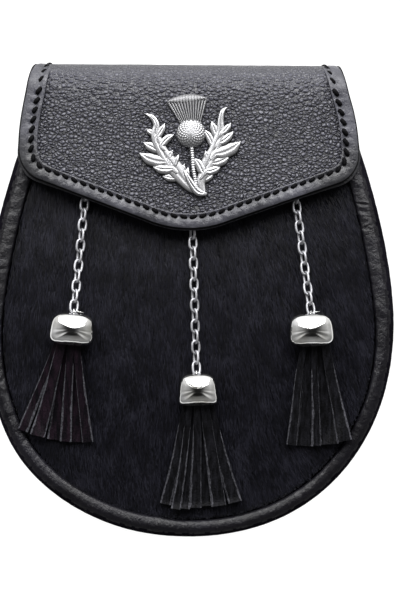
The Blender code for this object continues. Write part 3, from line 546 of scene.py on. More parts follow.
def silver_plate(name, roughness, tarnish, bright, wear_mm):
    """Silver plate on brass: mirror bright, or satin where links rub each other, with a faint
    polishing haze and a grey tarnish left in soft patches."""
    material, tree, shader = finish(name, Metallic=1.0, Roughness=roughness)
    place = add(tree, PLACE, "Object")
    patches = add(tree, NOISE, "Fac", {
        "Vector": place, "Scale": per_mm(wear_mm), "Detail": 4.0, "Roughness": 0.6})
    haze = add(tree, NOISE, "Fac", {"Vector": place, "Scale": per_mm(0.5), "Detail": 2.0})
    colour = add(tree, RAMP, "Color", {"Fac": patches}, [(0.25, linear(tarnish)), (0.6, linear(bright))])
    polish = add(tree, RAMP, "Color", {"Fac": haze}, [
        (0.3, grey(roughness * 0.8)), (0.7, grey(roughness * 1.5))])
    worn = add(tree, BUMP, "Normal", {"Height": patches, "Strength": 0.06, "Distance": 0.3 * MM})
    lead(tree, shader, Base_Color=colour, Roughness=polish, Normal=worn)
    return material


def cast_silver():
    """Cast and tumbled silver: satin bright on every ridge, dark patina left in the hollows."""
    material, tree, shader = finish("cast_silver", Metallic=1.0, Roughness=0.28)
    place = add(tree, PLACE, "Object")
    lay = add(tree, LAY, "UV", uv_map="lay")
    crest = add(tree, PARTS, "X", {"Vector": lay})
    skin = add(tree, NOISE, "Fac", {
        "Vector": place, "Scale": per_mm(0.7), "Detail": 4.0, "Roughness": 0.65})
    worn = add(tree, MATH, "Value", {0: skin, 1: 0.35, 2: -0.17}, operation="MULTIPLY_ADD")
    level = add(tree, MATH, "Value", {0: crest, 1: worn}, operation="ADD")
    colour = add(tree, RAMP, "Color", {"Fac": level}, [
        (0.05, linear("#1b1b1c")), (0.4, linear("#656566")), (0.9, linear("#a8a8aa"))])
    satin = add(tree, RAMP, "Color", {"Fac": level}, [(0.1, grey(0.55)), (0.8, grey(0.4))])
    cast = add(tree, BUMP, "Normal", {"Height": skin, "Strength": 0.35, "Distance": 0.12 * MM})
    lead(tree, shader, Base_Color=colour, Roughness=satin, Normal=cast)
    return material


def lit_acrylic():
    """White acrylic lit from below: it shows a plain white floor, and lights the pouch from its sides."""
    material, tree, shader = finish(
        "lit_acrylic", Roughness=0.9, Emission_Color=grey(1.0), Emission_Strength=0.97)
    frost = add(tree, NOISE, "Fac", {"Scale": per_mm(2.0), "Detail": 2.0})
    colour = add(tree, RAMP, "Color", {"Fac": frost}, [
        (0.3, linear("#6e6e6e")), (0.7, linear("#787878"))])
    lead(tree, shader, Base_Color=colour)
    return material


# ------------------------------------------------------------------ making meshes

class Stock:
    """Points and faces gathered for one mesh. Each face has the number of its finish, and each point
    has a lay: two numbers that a finish reads, such as how far along or how high on a ridge it is."""

    def __init__(self):
        self.points, self.faces, self.finishes, self.lay = [], [], [], []
        self.count = 0

    def put(self, points, faces, finish_number=0, lay=None):
        """Add points and the faces between them."""
        points = np.asarray(points, float).reshape(-1, 3)
        lay = np.zeros((len(points), 2)) if lay is None else np.asarray(lay, float).reshape(-1, 2)
        self.points.append(points)
        self.lay.append(lay)
        self.join(np.asarray(faces, int) + self.count, finish_number)
        self.count += len(points)

    def join(self, faces, finish_number=0):
        """Add faces between points that are already in the stock."""
        self.faces.extend(np.asarray(faces, int).tolist())
        self.finishes.append(np.full(len(faces), finish_number))

    def piece(self, name, materials, sharp=180.0, face_out=True):
        """Make the mesh object and let it ride on the body."""
        points = np.concatenate(self.points) * MM
        mesh = bpy.data.meshes.new(name)
        mesh.from_pydata(points.tolist(), [], self.faces)
        for material in materials:
            mesh.materials.append(material)
        mesh.polygons.foreach_set("material_index", np.concatenate(self.finishes))
        lay = mesh.uv_layers.new(name="lay")
        corners = np.empty(len(mesh.loops), int)
        mesh.loops.foreach_get("vertex_index", corners)
        lay.data.foreach_set("uv", np.concatenate(self.lay)[corners].ravel())
        mesh.validate()
        if face_out:
            bm = bmesh.new()
            bm.from_mesh(mesh)
            bmesh.ops.recalc_face_normals(bm, faces=bm.faces)
            bm.to_mesh(mesh)
            bm.free()
        mesh.shade_smooth()
        if sharp < 180:
            mesh.set_sharp_from_angle(angle=math.radians(sharp))
        thing = bpy.data.objects.new(name, mesh)
        bpy.context.scene.collection.objects.link(thing)
        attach(thing, "root")
        return thing


def grid_faces(rows, columns, wrap=False):
    """Faces between the points of a grid; wrap joins its last column to its first."""
    row, column = np.meshgrid(np.arange(rows - 1), np.arange(columns if wrap else columns - 1),
                              indexing="ij")
    beside = (column + 1) % columns
    corners = (row * columns + column, row * columns + beside,
               (row + 1) * columns + beside, (row + 1) * columns + column)
    return np.stack([corner.ravel() for corner in corners], axis=1)


def grid_rim(rows, columns, inward=0):
    """Numbers of the points round the rim of a grid, or of their neighbours a step inward."""
    number = np.arange(rows * columns).reshape(rows, columns)
    return np.concatenate((number[inward, :-1], number[:-1, -1 - inward],
                           number[-1 - inward, :0:-1], number[:0:-1, inward]))


def grid_normals(points):
    """Unit normals of a grid of points."""
    along = np.gradient(points, axis=0)
    across = np.gradient(points, axis=1)
    normals = np.cross(across, along)
    return normals / np.linalg.norm(normals, axis=-1, keepdims=True)


def lay_sheet(stock, face, thickness, finishes=(0, 0, 0), bulge=0.25, inward=None):
    """Put a closed sheet of leather whose outer face is a grid of points, with a rounded cut edge.

    finishes are the numbers for the outer face, the inner face and the cut edge. The sheet's
    thickness lies inward of its face, by the grid's own normals if inward isn't given."""
    rows, columns = face.shape[:2]
    normals = grid_normals(face) if inward is None else -inward
    back = face - thickness * normals
    count = rows * columns
    faces = grid_faces(rows, columns)
    rim = grid_rim(rows, columns)
    inside = grid_rim(rows, columns, inward=1)
    flat_face, flat_back = face.reshape(-1, 3), back.reshape(-1, 3)
    outward = flat_face[rim] - flat_face[inside]
    outward /= np.linalg.norm(outward, axis=1, keepdims=True) + 1e-9
    middle = (flat_face[rim] + flat_back[rim]) / 2 + outward * bulge * thickness
    ring = np.arange(len(rim))
    after = (ring + 1) % len(rim)
    edge = np.concatenate((
        np.stack((rim[ring], rim[after], 2 * count + after, 2 * count + ring), axis=1),
        np.stack((2 * count + ring, 2 * count + after, count + rim[after], count + rim[ring]), axis=1),
    ))
    start = stock.count
    stock.put(np.concatenate((flat_face, flat_back, middle)), faces, finishes[0])
    stock.join(faces[:, ::-1] + count + start, finishes[1])
    stock.join(edge + start, finishes[2])


def lay_bar(stock, path, radii, sides=10, flatten=1.0, up=(0, 0, 1), closed=False, crest=False):
    """Put a round bar along a path, with a radius at each of its points and flat ends.

    Its lay is the distance along it and the turn about it, or with crest how far up its side."""
    path = np.asarray(path, float)
    radii = np.broadcast_to(np.asarray(radii, float), (len(path),))
    if closed:
        along = np.roll(path, -1, axis=0) - np.roll(path, 1, axis=0)
    else:
        along = np.gradient(path, axis=0)
    along /= np.linalg.norm(along, axis=1, keepdims=True)
    side = np.cross(along, np.broadcast_to(np.asarray(up, float), along.shape))
    side /= np.linalg.norm(side, axis=1, keepdims=True) + 1e-9
    lift = np.cross(side, along)
    turns = np.linspace(0, 2 * math.pi, sides, endpoint=False)
    around = (np.cos(turns)[None, :, None] * side[:, None, :]
              + flatten * np.sin(turns)[None, :, None] * lift[:, None, :])
    points = path[:, None, :] + radii[:, None, None] * around
    distance = np.concatenate(([0.0], np.cumsum(np.linalg.norm(np.diff(path, axis=0), axis=1))))
    rows = len(path)
    turned = 0.5 + 0.5 * np.sin(turns) if crest else turns / (2 * math.pi)
    turned = np.broadcast_to(turned, (rows, sides))
    lay = np.stack((turned if crest else np.broadcast_to(distance[:, None], turned.shape), turned), axis=-1)
    if closed:
        stock.put(points, grid_faces(rows + 1, sides, wrap=True) % (rows * sides), lay=lay)
        return
    start = stock.count
    stock.put(points, grid_faces(rows, sides, wrap=True), lay=lay)
    stock.put(path[[0, -1]], np.empty((0, 3), int))
    ring = np.arange(sides)
    after = (ring + 1) % sides
    foot = [(start + rows * sides, start + b, start + a) for a, b in zip(ring, after)]
    last = start + (rows - 1) * sides
    head = [(start + rows * sides + 1, last + a, last + b) for a, b in zip(ring, after)]
    stock.join(foot + head)


# ------------------------------------------------------------------ gusset and its rims

def gusset_profile(side, y, places):
    """Inset and height of the gusset's outer face at places from the front rim to the rear rim; the
    front rim is rolled wider at the lower left, where side is negative."""
    width, top, foot = rim_width(y), rim_top(y), rear_rise(y)
    belly = np.exp(-((y - BELLY_ROLL_Y) / BELLY_ROLL_SPREAD) ** 2)
    width = width + BELLY_ROLL * belly * smooth(-side / 0.06)
    zero = np.zeros_like(y)
    insets = np.stack((width, width * 0.95, width * 0.67, width * 0.36, width * 0.1, zero + 0.1,
                       zero + 0.4, zero, zero + 3.0, zero + 5.8, zero + REAR_RIM_WIDTH))
    heights = np.stack((top - 3.3, top - 1.0, top, top - 0.4, top - 2.3, top - 4.8,
                        (top + foot) / 2, foot + 4.6, foot, foot, foot + 3.0))
    weights = curve_weights(len(insets), places)
    return weights @ insets, np.maximum(weights @ heights, foot)


RIM_FOLDS = (
    # height on the pouch, side, depth, lean
    (48.4, 1, -0.7, 12.0), (47.2, 1, 0.5, 15.0), (46.0, 1, -0.5, 5.0), (43.9, 1, 0.35, 7.0),
    (42.0, 1, -0.4, 12.0), (37.6, 1, -0.2, -6.0), (35.4, 1, 0.2, 9.0),
    (-22.0, 1, 0.3, 4.0), (-48.0, 1, 0.25, -4.0), (-64.0, 1, 0.35, 3.0),
    (20.0, -1, 0.3, 4.0), (-6.0, -1, 0.35, -3.0), (-31.0, -1, 0.3, 5.0), (-70.0, -1, 0.35, -4.0),
)
RIM_LAPS = (
    # height on the pouch, side
    (-7.3, 1), (-56.6, -1),
)

GUSSET_PLACES = 44
ROLL_PLACE = 0.17           # the top of the front rim's roll
ROLL_SPREAD = 0.12
FOLD_WIDTH = 0.6
FOLD_SHARE = 0.75           # of the folds' depths, worn down by use

# Where the gusset's finishes end, in places from the front rim (0) to the rear rim (1)
POLISHED_TO = 0.22
POLISHED_MORE = 0.05        # on the upper half
SHADED_Y = -66.0            # the lower right, where the roll turns away from the light
SHADED_SPREAD = 0.11
SHADED_LESS = 0.15
RUBBED_TO = 0.33
MATT_TO = 0.42
DULL_TO = 0.5


def rim_wear(along, place, y):
    """How far the gusset's leather stands out: soft crinkles, folds across the roll, lapped joints."""
    on_roll = np.exp(-((place - ROLL_PLACE) / ROLL_SPREAD) ** 2)
    folds = 0.0
    for height, side, depth, lean in RIM_FOLDS:
        distance = (along - side * BODY.place_of_height(height)) * BODY.half_length + lean * (place - 0.2)
        broken = 0.65 + 0.5 * unevenness(place * 30, along * 0 + height, 1.5, 4)
        folds = folds - FOLD_SHARE * depth * broken * np.exp(-(distance / FOLD_WIDTH) ** 2) * on_roll
    for height, side in RIM_LAPS:
        distance = (along * side - BODY.place_of_height(height)) * BODY.half_length
        folds = folds + 0.5 * smooth(distance / 0.7) * (1 - smooth((distance - 3) / 14)) * on_roll
    slanted = along * BODY.half_length + 14 * np.sign(along) * place
    crinkles = 0.34 * unevenness(slanted, place * 17, 2.4, 1)
    crinkles = crinkles + 0.2 * unevenness(slanted, place * 28, 1.3, 2)
    waves = 0.15 * unevenness(along * BODY.half_length, place * 18, 11.0, 3)
    calm = 0.4 + 0.3 * smooth((y + 85) / 60)
    return folds + (crinkles + waves) * calm * (0.3 + 0.7 * on_roll)


def gusset_finishes(along, y):
    """Number of the calf at each face of the gusset: polished on the roll, dull and then matt on its
    shoulder, dull again, and the plain wall."""
    place = np.linspace(0, 1, GUSSET_PLACES)[:-1, None]
    uneven = place + 0.018 * unevenness(along * BODY.half_length, place * 40, 1.6, 5)
    shaded = np.exp(-((along - BODY.place_of_height(SHADED_Y)) / SHADED_SPREAD) ** 2)
    polished_to = POLISHED_TO + POLISHED_MORE * smooth((y + 60) / 60) - SHADED_LESS * shaded
    polished, dull, matt, wall = range(4)
    borders = (place > DULL_TO, place > MATT_TO, uneven > RUBBED_TO, uneven > polished_to)
    return np.select(borders, (wall, dull, matt, dull), polished)


def make_gusset(polished, dull, matt, wall):
    """The leather band round the body, rolled over at the front and turned in at the back. Each of
    its four finishes is the same calf, worn in its own way."""
    creased = np.linspace(*BODY.place_of_height(np.array((32.0, 50.0))), 70)
    along = np.sort(np.concatenate((np.linspace(-1, 1, 650), creased)))
    places = np.linspace(0, 1, GUSSET_PLACES)
    track_y = BODY.at(along)[1]
    inset, height = gusset_profile(along, track_y, places)
    sides = np.broadcast_to(along, inset.shape)
    x, y = BODY.at(sides, inset)
    points = np.stack((x, y, height), axis=-1)
    normals = grid_normals(points)
    upward = normals[3, 360, 2]     # at a point on the front rim, by the foot
    normals = normals * np.sign(upward)
    wear = rim_wear(sides, np.broadcast_to(places[:, None], inset.shape), track_y)
    wear = wear * smooth((height - 1.5) / 4)
    points[..., 0] = settled(x, y)
    points = points + normals * wear[..., None]
    calves = gusset_finishes(along[:-1], track_y[:-1])
    stock = Stock()
    lay_sheet(stock, points, thickness=2.0, finishes=(calves.ravel(), 2, 0), inward=-normals, bulge=0.1)
    gusset = stock.piece("gusset_band", [polished, dull, matt, wall])
    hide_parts("gusset")


# ------------------------------------------------------------------ fur front

def settled(x, y):
    """Where the filled body lies: it bellies out a little to the right and at the lower left."""
    low_left = np.exp(-((y + 78) / 24) ** 2) * smooth(-x / 60)
    return x + 0.9 * smooth(x / 60) - 2.1 * low_left


def hair_flow(x, y):
    """Direction that the hair lies in: straight down on the left, leaning outwards to the right."""
    lean = 0.06 + 0.30 * smooth((x + 20) / 90) + 0.10 * unevenness(x, y, 26, 11)
    lean = lean - 0.10 * smooth((-x - 30) / 60)
    return lean, -np.sqrt(np.maximum(1 - lean ** 2, 0.1))


def make_hide(roots):
    """The hide that the hair grows from, domed inside the rim."""
    top = BODY.place_of_height(FRONT_TOP_Y)
    u, v = np.meshgrid(np.linspace(0, 1, 80), np.linspace(0, 1, 80))
    rough_y = panel_patch(u, v, FOOT_RIM_WIDTH, top)[1]
    x, y = panel_patch(u, v, rim_width(rough_y) + 0.5, top)
    face = np.stack((settled(x, y), y, front_height(x, y) - 0.9), axis=-1)
    stock = Stock()
    lay_sheet(stock, face, thickness=2.1)
    hide = stock.piece("hide_front", [roots])
    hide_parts("front_panel")


HAIR_OUTLINE = (
    # share of the hair's length, share of its width, height in lifts
    (0.0, 0.85, -0.85), (0.45, 1.0, 0.0), (0.8, 0.75, 0.15), (1.0, 0.0, 0.05),
)
HAIR_LIMIT = 0.992      # of the way from the middle line to the rim, for the hairs' roots
HAIR_TIP_LIMIT = 0.995
UNDER_THE_FLAP = 26.0   # above the flap's tip, where few of the hairs are made


def make_hair(name, count, length, width, lift, seed, material):
    """Lying hair: narrow pointed blades that follow the dome of the front."""
    random = np.random.default_rng(SEED + seed)
    x = random.uniform(-HALF_WIDTH, HALF_WIDTH, count * 2)
    y = random.uniform(-110, FRONT_TOP_Y - 2, count * 2)
    keep = body_fraction(x, y, rim_width(y)) < HAIR_LIMIT
    covered = y > TIP_Y + UNDER_THE_FLAP + np.abs(x) * 0.05
    keep = keep & ~(covered & (random.uniform(0, 1, count * 2) < 0.8))
    x, y = x[keep][:count], y[keep][:count]
    flow_x, flow_y = hair_flow(x, y)
    turn = random.normal(0, 0.13, len(x))
    flow_x, flow_y = (flow_x * np.cos(turn) - flow_y * np.sin(turn),
                      flow_x * np.sin(turn) + flow_y * np.cos(turn))
    reach = length * random.uniform(0.7, 1.15, len(x))
    for _ in range(4):
        tip_x, tip_y = x + flow_x * reach, y + flow_y * reach
        outside = body_fraction(tip_x, tip_y, rim_width(tip_y)) > HAIR_TIP_LIMIT
        reach = np.where(outside, reach * 0.6, reach)
    tilt = random.normal(0, 0.30, len(x))
    rise = lift * random.uniform(0.6, 1.3, len(x))
    bend = random.normal(0, 0.05, len(x)) * reach
    rows = []
    for part, breadth, height in HAIR_OUTLINE:
        along = reach * part
        here_x = x + flow_x * along - flow_y * bend * part ** 2
        here_y = y + flow_y * along + flow_x * bend * part ** 2
        ground = front_height(here_x, here_y) + height * rise
        half = width / 2 * breadth
        side = np.stack((-flow_y * half, flow_x * half, tilt * half), axis=1)
        middle = np.stack((settled(here_x, here_y), here_y, ground), axis=1)
        rows += [middle - side, middle + side] if breadth else [middle]
    points = np.stack(rows, axis=1)
    start = np.arange(len(x)) * len(rows)
    quads = np.concatenate([start[:, None] + np.array(quad) for quad in ((0, 1, 3, 2), (2, 3, 5, 4))])
    tips = start[:, None] + np.array((4, 5, 6))
    shade = np.clip(random.uniform(0, 1, len(x)) + 0.45 * unevenness(x, y, 5, seed), 0, 1)
    lay = np.broadcast_to(shade[:, None, None], (len(x), len(rows), 2))
    stock = Stock()
    stock.put(points, quads, lay=lay)
    stock.join(tips)
    stock.piece(name, [material], face_out=False)


# ------------------------------------------------------------------ the back

def make_back(calf):
    """The back panel, set in inside the rear rim."""
    u, v = np.meshgrid(np.linspace(1, 0, 90), np.linspace(0, 1, 90))
    x, y = panel_patch(u, v, REAR_RIM_WIDTH + 0.5)
    z = back_height(x, y) + 0.12 * unevenness(x, y, 9, 21) + 0.05 * unevenness(x, y, 3, 22)
    stock = Stock()
    lay_sheet(stock, np.stack((settled(x, y), y, z), axis=-1), thickness=2.0)
    back = stock.piece("back_leather", [calf])
    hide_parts("back_panel")


# ------------------------------------------------------------------ the flap

def make_lining(calf, edge):
    """The flap's inner layer, whose edge shows as a thin line round the border."""
    u, v = np.meshgrid(np.linspace(0, 1, 100), np.linspace(0, 1, 110))
    x, s = flap_patch(u, v, -0.1)
    corner = 0.8 * np.exp(-((s - 30) / 11) ** 2)
    x = x + corner * (2 * u - 1) ** 5
    s = s - corner * np.maximum(1 - v / 0.2, 0) ** 3 * np.abs(2 * u - 1)
    stock = Stock()
    lay_sheet(stock, FOLD.at(x, s, 1.2), thickness=1.2, finishes=(0, 0, 1))
    lining = stock.piece("flap_inner_leather", [calf, edge])
    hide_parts("flap_lining")


def make_grain_panel(cowhide):
    """The flap's pebbled face."""
    u, v = np.meshgrid(np.linspace(0, 1, 155), np.linspace(0, 1, 140))
    x, s = flap_patch(u, v, 2.7)
    swell = 0.06 * unevenness(x, s, 2.2, 31) + 0.05 * unevenness(x, s, 12, 32) + over_fold(s)
    stock = Stock()
    lay_sheet(stock, FOLD.at(x, s, FLAP_FACE + swell), thickness=1.5)
    panel = stock.piece("flap_pebbled_face", [cowhide])
    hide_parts("flap_panel")


def up_the_side(along):
    """0 along the flap's foot, 1 up its sides."""
    return smooth((FLAP.at(np.abs(along))[1] - 18) / 14)


def stitch_inset(along):
    """How far the stitches lie in from the flap's edge."""
    return 5.7 + 0.6 * up_the_side(along)


def stitch_row():
    """Places along the flap's edge and the length of the row of stitches up to them from the tip."""
    places = np.linspace(0, 1, 600)
    x, s = FLAP.at(places, stitch_inset(places))
    return places, np.concatenate(([0.0], np.cumsum(np.hypot(np.diff(x), np.diff(s)))))


def border_width(along):
    """Width of the border: its inner cut edge lies close to the stitches along the foot, and further
    from them up the left side."""
    return stitch_inset(along) + 1.5 + (0.9 - 0.4 * np.sign(along)) * up_the_side(along)


def over_fold(s):
    """How far the border sinks into the panel where both are pulled tight over the top fold."""
    return 0.6 * smooth((s - FLAP_TIGHT) / 12)


BORDER_SECTION = (
    # distance in from the flap's edge, height above the flap's inner face
    (0.0, 1.7), (0.0, 2.6), (0.0, 3.6), (0.2, 4.35), (0.7, 4.78), (1.3, 4.98), (2.2, 5.14), (3.2, 5.16),
    (4.2, 5.05), (5.1, 4.93), (5.9, 4.86), (6.7, 4.84), (7.5, 4.8), (8.0, 4.7), (8.4, 4.6),
)
PAINTED_ROWS = 4        # of the section's faces, up the cut edge


def make_border(calf, edge, paint):
    """The smooth border sewn round the flap. It sinks along the row of stitches, most at their holes.
    Between the row and the edge it is drawn down at the holes and puffs up between them."""
    along = np.linspace(-1, 1, 1000)
    section = np.array(BORDER_SECTION)
    inset = section[:, :1] * (border_width(along) / section[-1, 0])[None, :]
    height = section[:, 1:] + np.zeros((1, len(along)))
    row = stitch_inset(along)[None, :]
    phase = np.interp(np.abs(along), *stitch_row()) / STITCH_PITCH
    hole = 0.5 + 0.5 * np.cos(2 * math.pi * phase)
    channel = np.exp(-((inset - row) / 0.8) ** 2)
    height = height - channel * (0.35 + 0.45 * hole)
    pull = np.exp(-((inset - row + 1.5) / 0.8) ** 2)
    height = height + pull * (0.10 - 0.30 * hole)
    height = height + 0.14 * unevenness(along * FLAP.half_length, inset * 1.5, 2.0, 41)
    height = height + 0.15 * unevenness(along * FLAP.half_length, inset, 7.0, 42)
    x, s = FLAP.at(np.broadcast_to(along, inset.shape), inset - 0.1)
    height = height - 2.2 * over_fold(s) * smooth((height - 3.9) / 0.5)
    painted = np.where(np.arange(len(section) - 1) < PAINTED_ROWS, 2, 0)
    painted = np.repeat(painted, len(along) - 1)
    stock = Stock()
    lay_sheet(stock, FOLD.at(x, s, height), thickness=0.9, finishes=(painted, 0, 1))
    border = stock.piece("flap_border_leather", [calf, edge, paint])
    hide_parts("flap_border")


def make_stitches(thread):
    """Saddle stitches: fat slanted stitches whose ends dive into the leather."""
    stock = Stock()
    places, run = stitch_row()
    count = int(run[-1] / STITCH_PITCH)
    for number in range(-count, count):
        side = math.copysign(1, number + 0.5)
        steps = np.linspace(-1, 1, 9)
        middle = abs(number + 0.5) * STITCH_PITCH
        at_side = up_the_side(np.interp(middle, run, places))
        place = side * np.interp(middle + side * STITCH_HALF_LENGTH * steps, run, places)
        x, s = FLAP.at(place, stitch_inset(place[4]) - 0.1 + (0.45 + 0.5 * at_side) * side * steps)
        thin = 1 - 0.45 * smooth((np.max(s) - FLAP_TIGHT) / 8)
        arch = 4.5 + 0.45 * (1 - steps ** 2) - 0.5 * np.abs(steps) ** 5 - 1.4 * (1 - thin)
        path = FOLD.at(x, s, arch - over_fold(s))
        radii = (STITCH_RADIUS + 0.12 * at_side) * thin * np.sqrt(np.maximum(1 - steps ** 4 * 0.72, 0.05))
        lay_bar(stock, path, radii, sides=10, flatten=0.75)
    stock.piece("flap_stitches", [thread])


# ------------------------------------------------------------------ thistle badge

BULB = (0.9, 77.4, 6.7, 4.3)    # x, y, radius, rise
BULB_SCALES = 9
# x, y and radius of the stem; x, y and half width of the root leaf
STEM = ((1.2, 71.5, 1.1), (1.7, 66.5, 0.95), (2.1, 61.0, 0.95), (3.0, 56.0, 1.0), (3.4, 51.6, 1.3))
ROOT = ((-2.0, 60.0, 0.8), (0.2, 55.6, 1.6), (2.6, 51.9, 2.0), (4.9, 49.7, 2.0), (8.4, 49.0, 0.9))
SPRAYS = (
    # the blade of each spray along its midrib: x, y, half width
    ((5.1, 49.5, 1.3), (0.9, 52.3, 2.4), (-2.4, 55.5, 3.4), (-5.8, 59.9, 3.9), (-10.1, 65.3, 3.7),
     (-13.8, 71.4, 3.0), (-15.6, 76.9, 2.2), (-15.2, 81.4, 1.9), (-17.3, 84.9, 1.3),
     (-20.9, 86.8, 0.03)),
    ((6.9, 50.0, 1.3), (5.6, 54.2, 2.2), (6.9, 58.3, 3.0), (8.8, 62.5, 3.5), (11.1, 67.6, 3.5),
     (13.0, 72.8, 3.0), (14.6, 77.9, 2.2), (14.7, 83.9, 1.8), (15.7, 88.2, 1.0), (18.0, 90.0, 0.03)),
)
LEAVES = (
    # root x, root y, tip x, tip y, half width, bend of the midrib
    (-15.9, 77.0, -19.8, 79.6, 1.3, 0.5),
    (-15.4, 75.0, -11.3, 82.2, 1.5, -0.6),
    (-12.8, 71.2, -6.9, 76.8, 1.6, 1.2),
    (-13.0, 69.5, -21.2, 73.4, 2.0, 1.0),
    (-10.3, 64.0, -23.0, 68.2, 2.5, 2.0),
    (-7.5, 60.6, -16.6, 61.7, 1.9, 1.2),
    (-4.7, 56.9, -12.2, 57.5, 1.6, 1.0),
    (-9.4, 64.4, -7.6, 69.6, 1.5, 0.5),
    (-6.6, 61.4, -4.6, 67.6, 1.1, 0.4),
    (-3.5, 57.0, -2.0, 63.2, 1.6, 0.4),
    (-0.6, 54.0, -0.3, 61.8, 1.2, 0.4),
    (15.1, 77.4, 19.4, 82.6, 1.4, -0.6),
    (14.0, 75.0, 10.5, 83.4, 1.8, 0.6),
    (13.6, 72.8, 20.5, 78.7, 1.7, -1.2),
    (12.2, 67.6, 24.0, 74.0, 2.6, -2.0),
    (11.3, 71.0, 6.4, 79.6, 1.6, -1.0),
    (10.5, 63.4, 18.9, 67.0, 2.0, -1.2),
    (8.1, 59.4, 14.6, 62.0, 1.7, -0.9),
    (6.3, 55.6, 11.6, 59.2, 1.5, -0.8),
    (8.9, 64.0, 7.5, 69.6, 1.5, -0.4),
    (6.7, 58.4, 2.3, 66.0, 1.9, -0.8),
)
LEAF_OUTLINE = (
    # share of the length from the root, share of the half width
    (0.0, 0.9), (0.22, 1.2), (0.45, 1.28), (0.68, 1.06), (0.87, 0.56), (1.0, 0.03),
)
LEAF_STALK = 3.0
CROWN_NECK = (-4.0, 5.0, 82.6)              # left x, right x, y
CROWN_HEAD = ((-9.9, 92.3), (7.8, 94.0))    # x, y of its left and its right end
CROWN_OVERHANG = 0.4
BRISTLES = 13


def on_flap(points):
    """Bend points given as x, y and height over the badge's back onto the flap."""
    points = np.asarray(points, float)
    return FOLD.at(points[..., 0], points[..., 1] - TIP_Y, BADGE_BASE + points[..., 2])


def put_relief(stock, x, y, height, crest):
    """Put a raised relief: a grid of points with their heights, closed by a flat back. crest is 1
    where polishing reaches it and 0 in the hollows."""
    rows, columns = x.shape
    top = np.stack((x, y, np.maximum(height, 0.02)), axis=-1)
    foot = np.stack((x, y, np.zeros_like(x)), axis=-1)
    count = rows * columns
    faces = grid_faces(rows, columns)
    rim = grid_rim(rows, columns)
    after = np.roll(rim, -1)
    sides = np.stack((rim, after, after + count, rim + count), axis=1)
    all_faces = np.concatenate((faces, faces[:, ::-1] + count, sides))
    crest = np.concatenate((crest.ravel(), np.zeros(count)))
    points = on_flap(np.concatenate((top.reshape(-1, 3), foot.reshape(-1, 3))))
    stock.put(points, all_faces, lay=np.stack((crest, crest), axis=1))


def put_blade(stock, rows, relief, teeth=0.0, steps=26, lift=0.0, vein=0.28):
    """A leafy blade along rows of x, y and half width: rounded over, with a thin groove down its middle."""
    rows = np.array(rows, float)
    run = curve_weights(len(rows), np.linspace(0, 1, steps)) @ rows
    along = np.gradient(run[:, :2], axis=0)
    along /= np.linalg.norm(along, axis=1, keepdims=True)
    across = np.linspace(-1, 1, 13)[None, :]
    t = np.linspace(0, 1, steps)[:, None]
    breadth = np.maximum(run[:, 2:3], 0.04) * (1 + teeth * np.sin(t * 7 * math.pi))
    x = run[:, :1] - along[:, 1:] * across * breadth
    y = run[:, 1:2] + along[:, :1] * across * breadth
    round_over = np.sqrt(np.maximum(1 - np.abs(across) ** 2.4, 0))
    groove = np.exp(-(across / 0.11) ** 2) * smooth(t * 3) * (1 - smooth((t - 0.7) / 0.3))
    height = lift + relief * (0.35 + 0.75 * round_over - vein * groove) * np.clip(breadth / 1.2, 0.35, 1)
    crest = np.clip(1.3 * round_over ** 2 - 2 * vein * groove, 0, 1) + 0 * t
    put_relief(stock, x, y, height, crest)


def put_leaf(stock, root_x, root_y, tip_x, tip_y, half, bend, lift):
    """One leaf of a spray: it leaves the midrib steeply and is drawn out to a point."""
    run_x, run_y = tip_x - root_x, tip_y - root_y
    length = math.hypot(run_x, run_y)
    foot_x, foot_y = ROOT[2][0] - root_x, ROOT[2][1] - root_y
    stalk = LEAF_STALK / math.hypot(foot_x, foot_y)
    rows = [(root_x + stalk * foot_x, root_y + stalk * foot_y, 0.6 * half)]
    for t, breadth in LEAF_OUTLINE:
        sway = bend * 2.6 * t * (1 - t) / length
        rows.append((root_x + run_x * t - run_y * sway, root_y + run_y * t + run_x * sway, half * breadth))
    put_blade(stock, rows, 1.1, teeth=0.05, steps=32, lift=lift, vein=0.2)


def put_stem(stock):
    """The beaded stem, from the bulb down to the root leaf."""
    beads, pitch = 0.16, 1.1
    rows = np.array(STEM)
    run = curve_weights(len(rows), np.linspace(0, 1, 120)) @ rows
    distance = np.concatenate(([0.0], np.cumsum(np.hypot(*np.diff(run[:, :2], axis=0).T))))
    radii = run[:, 2] * (1 + beads * np.sin(2 * math.pi * distance / pitch))
    path = on_flap(np.stack((run[:, 0], run[:, 1], 0.5 + run[:, 2] * 0.5), axis=1))
    lay_bar(stock, path, radii, sides=12, flatten=0.8, crest=True)


def put_bulb(stock):
    """The bulb: a dome covered with a lattice of scales."""
    x, y, radius, rise = BULB
    turn, tilt = np.meshgrid(np.linspace(0, 2 * math.pi, 129), np.linspace(0, math.pi / 2, 44),
                             indexing="ij")
    one_way = np.abs(np.sin(BULB_SCALES * turn + BULB_SCALES * tilt))
    other_way = np.abs(np.sin(BULB_SCALES * turn - BULB_SCALES * tilt))
    lattice = one_way * other_way
    swell = 1 + 0.08 * (lattice ** 0.6 - 0.5) * np.minimum(np.sin(tilt) * 2.2, 1)
    ring = radius * np.sin(tilt) * swell
    height = rise * np.cos(tilt) ** 0.8 * swell + 0.05
    dome = on_flap(np.stack((x + ring * np.cos(turn), y + ring * np.sin(turn), height), axis=-1))
    crest = np.clip((lattice - 0.02) / 0.2, 0, 1) * 0.7 + 0.3
    stock.put(dome, grid_faces(*turn.shape), lay=np.stack((crest, crest), axis=-1))


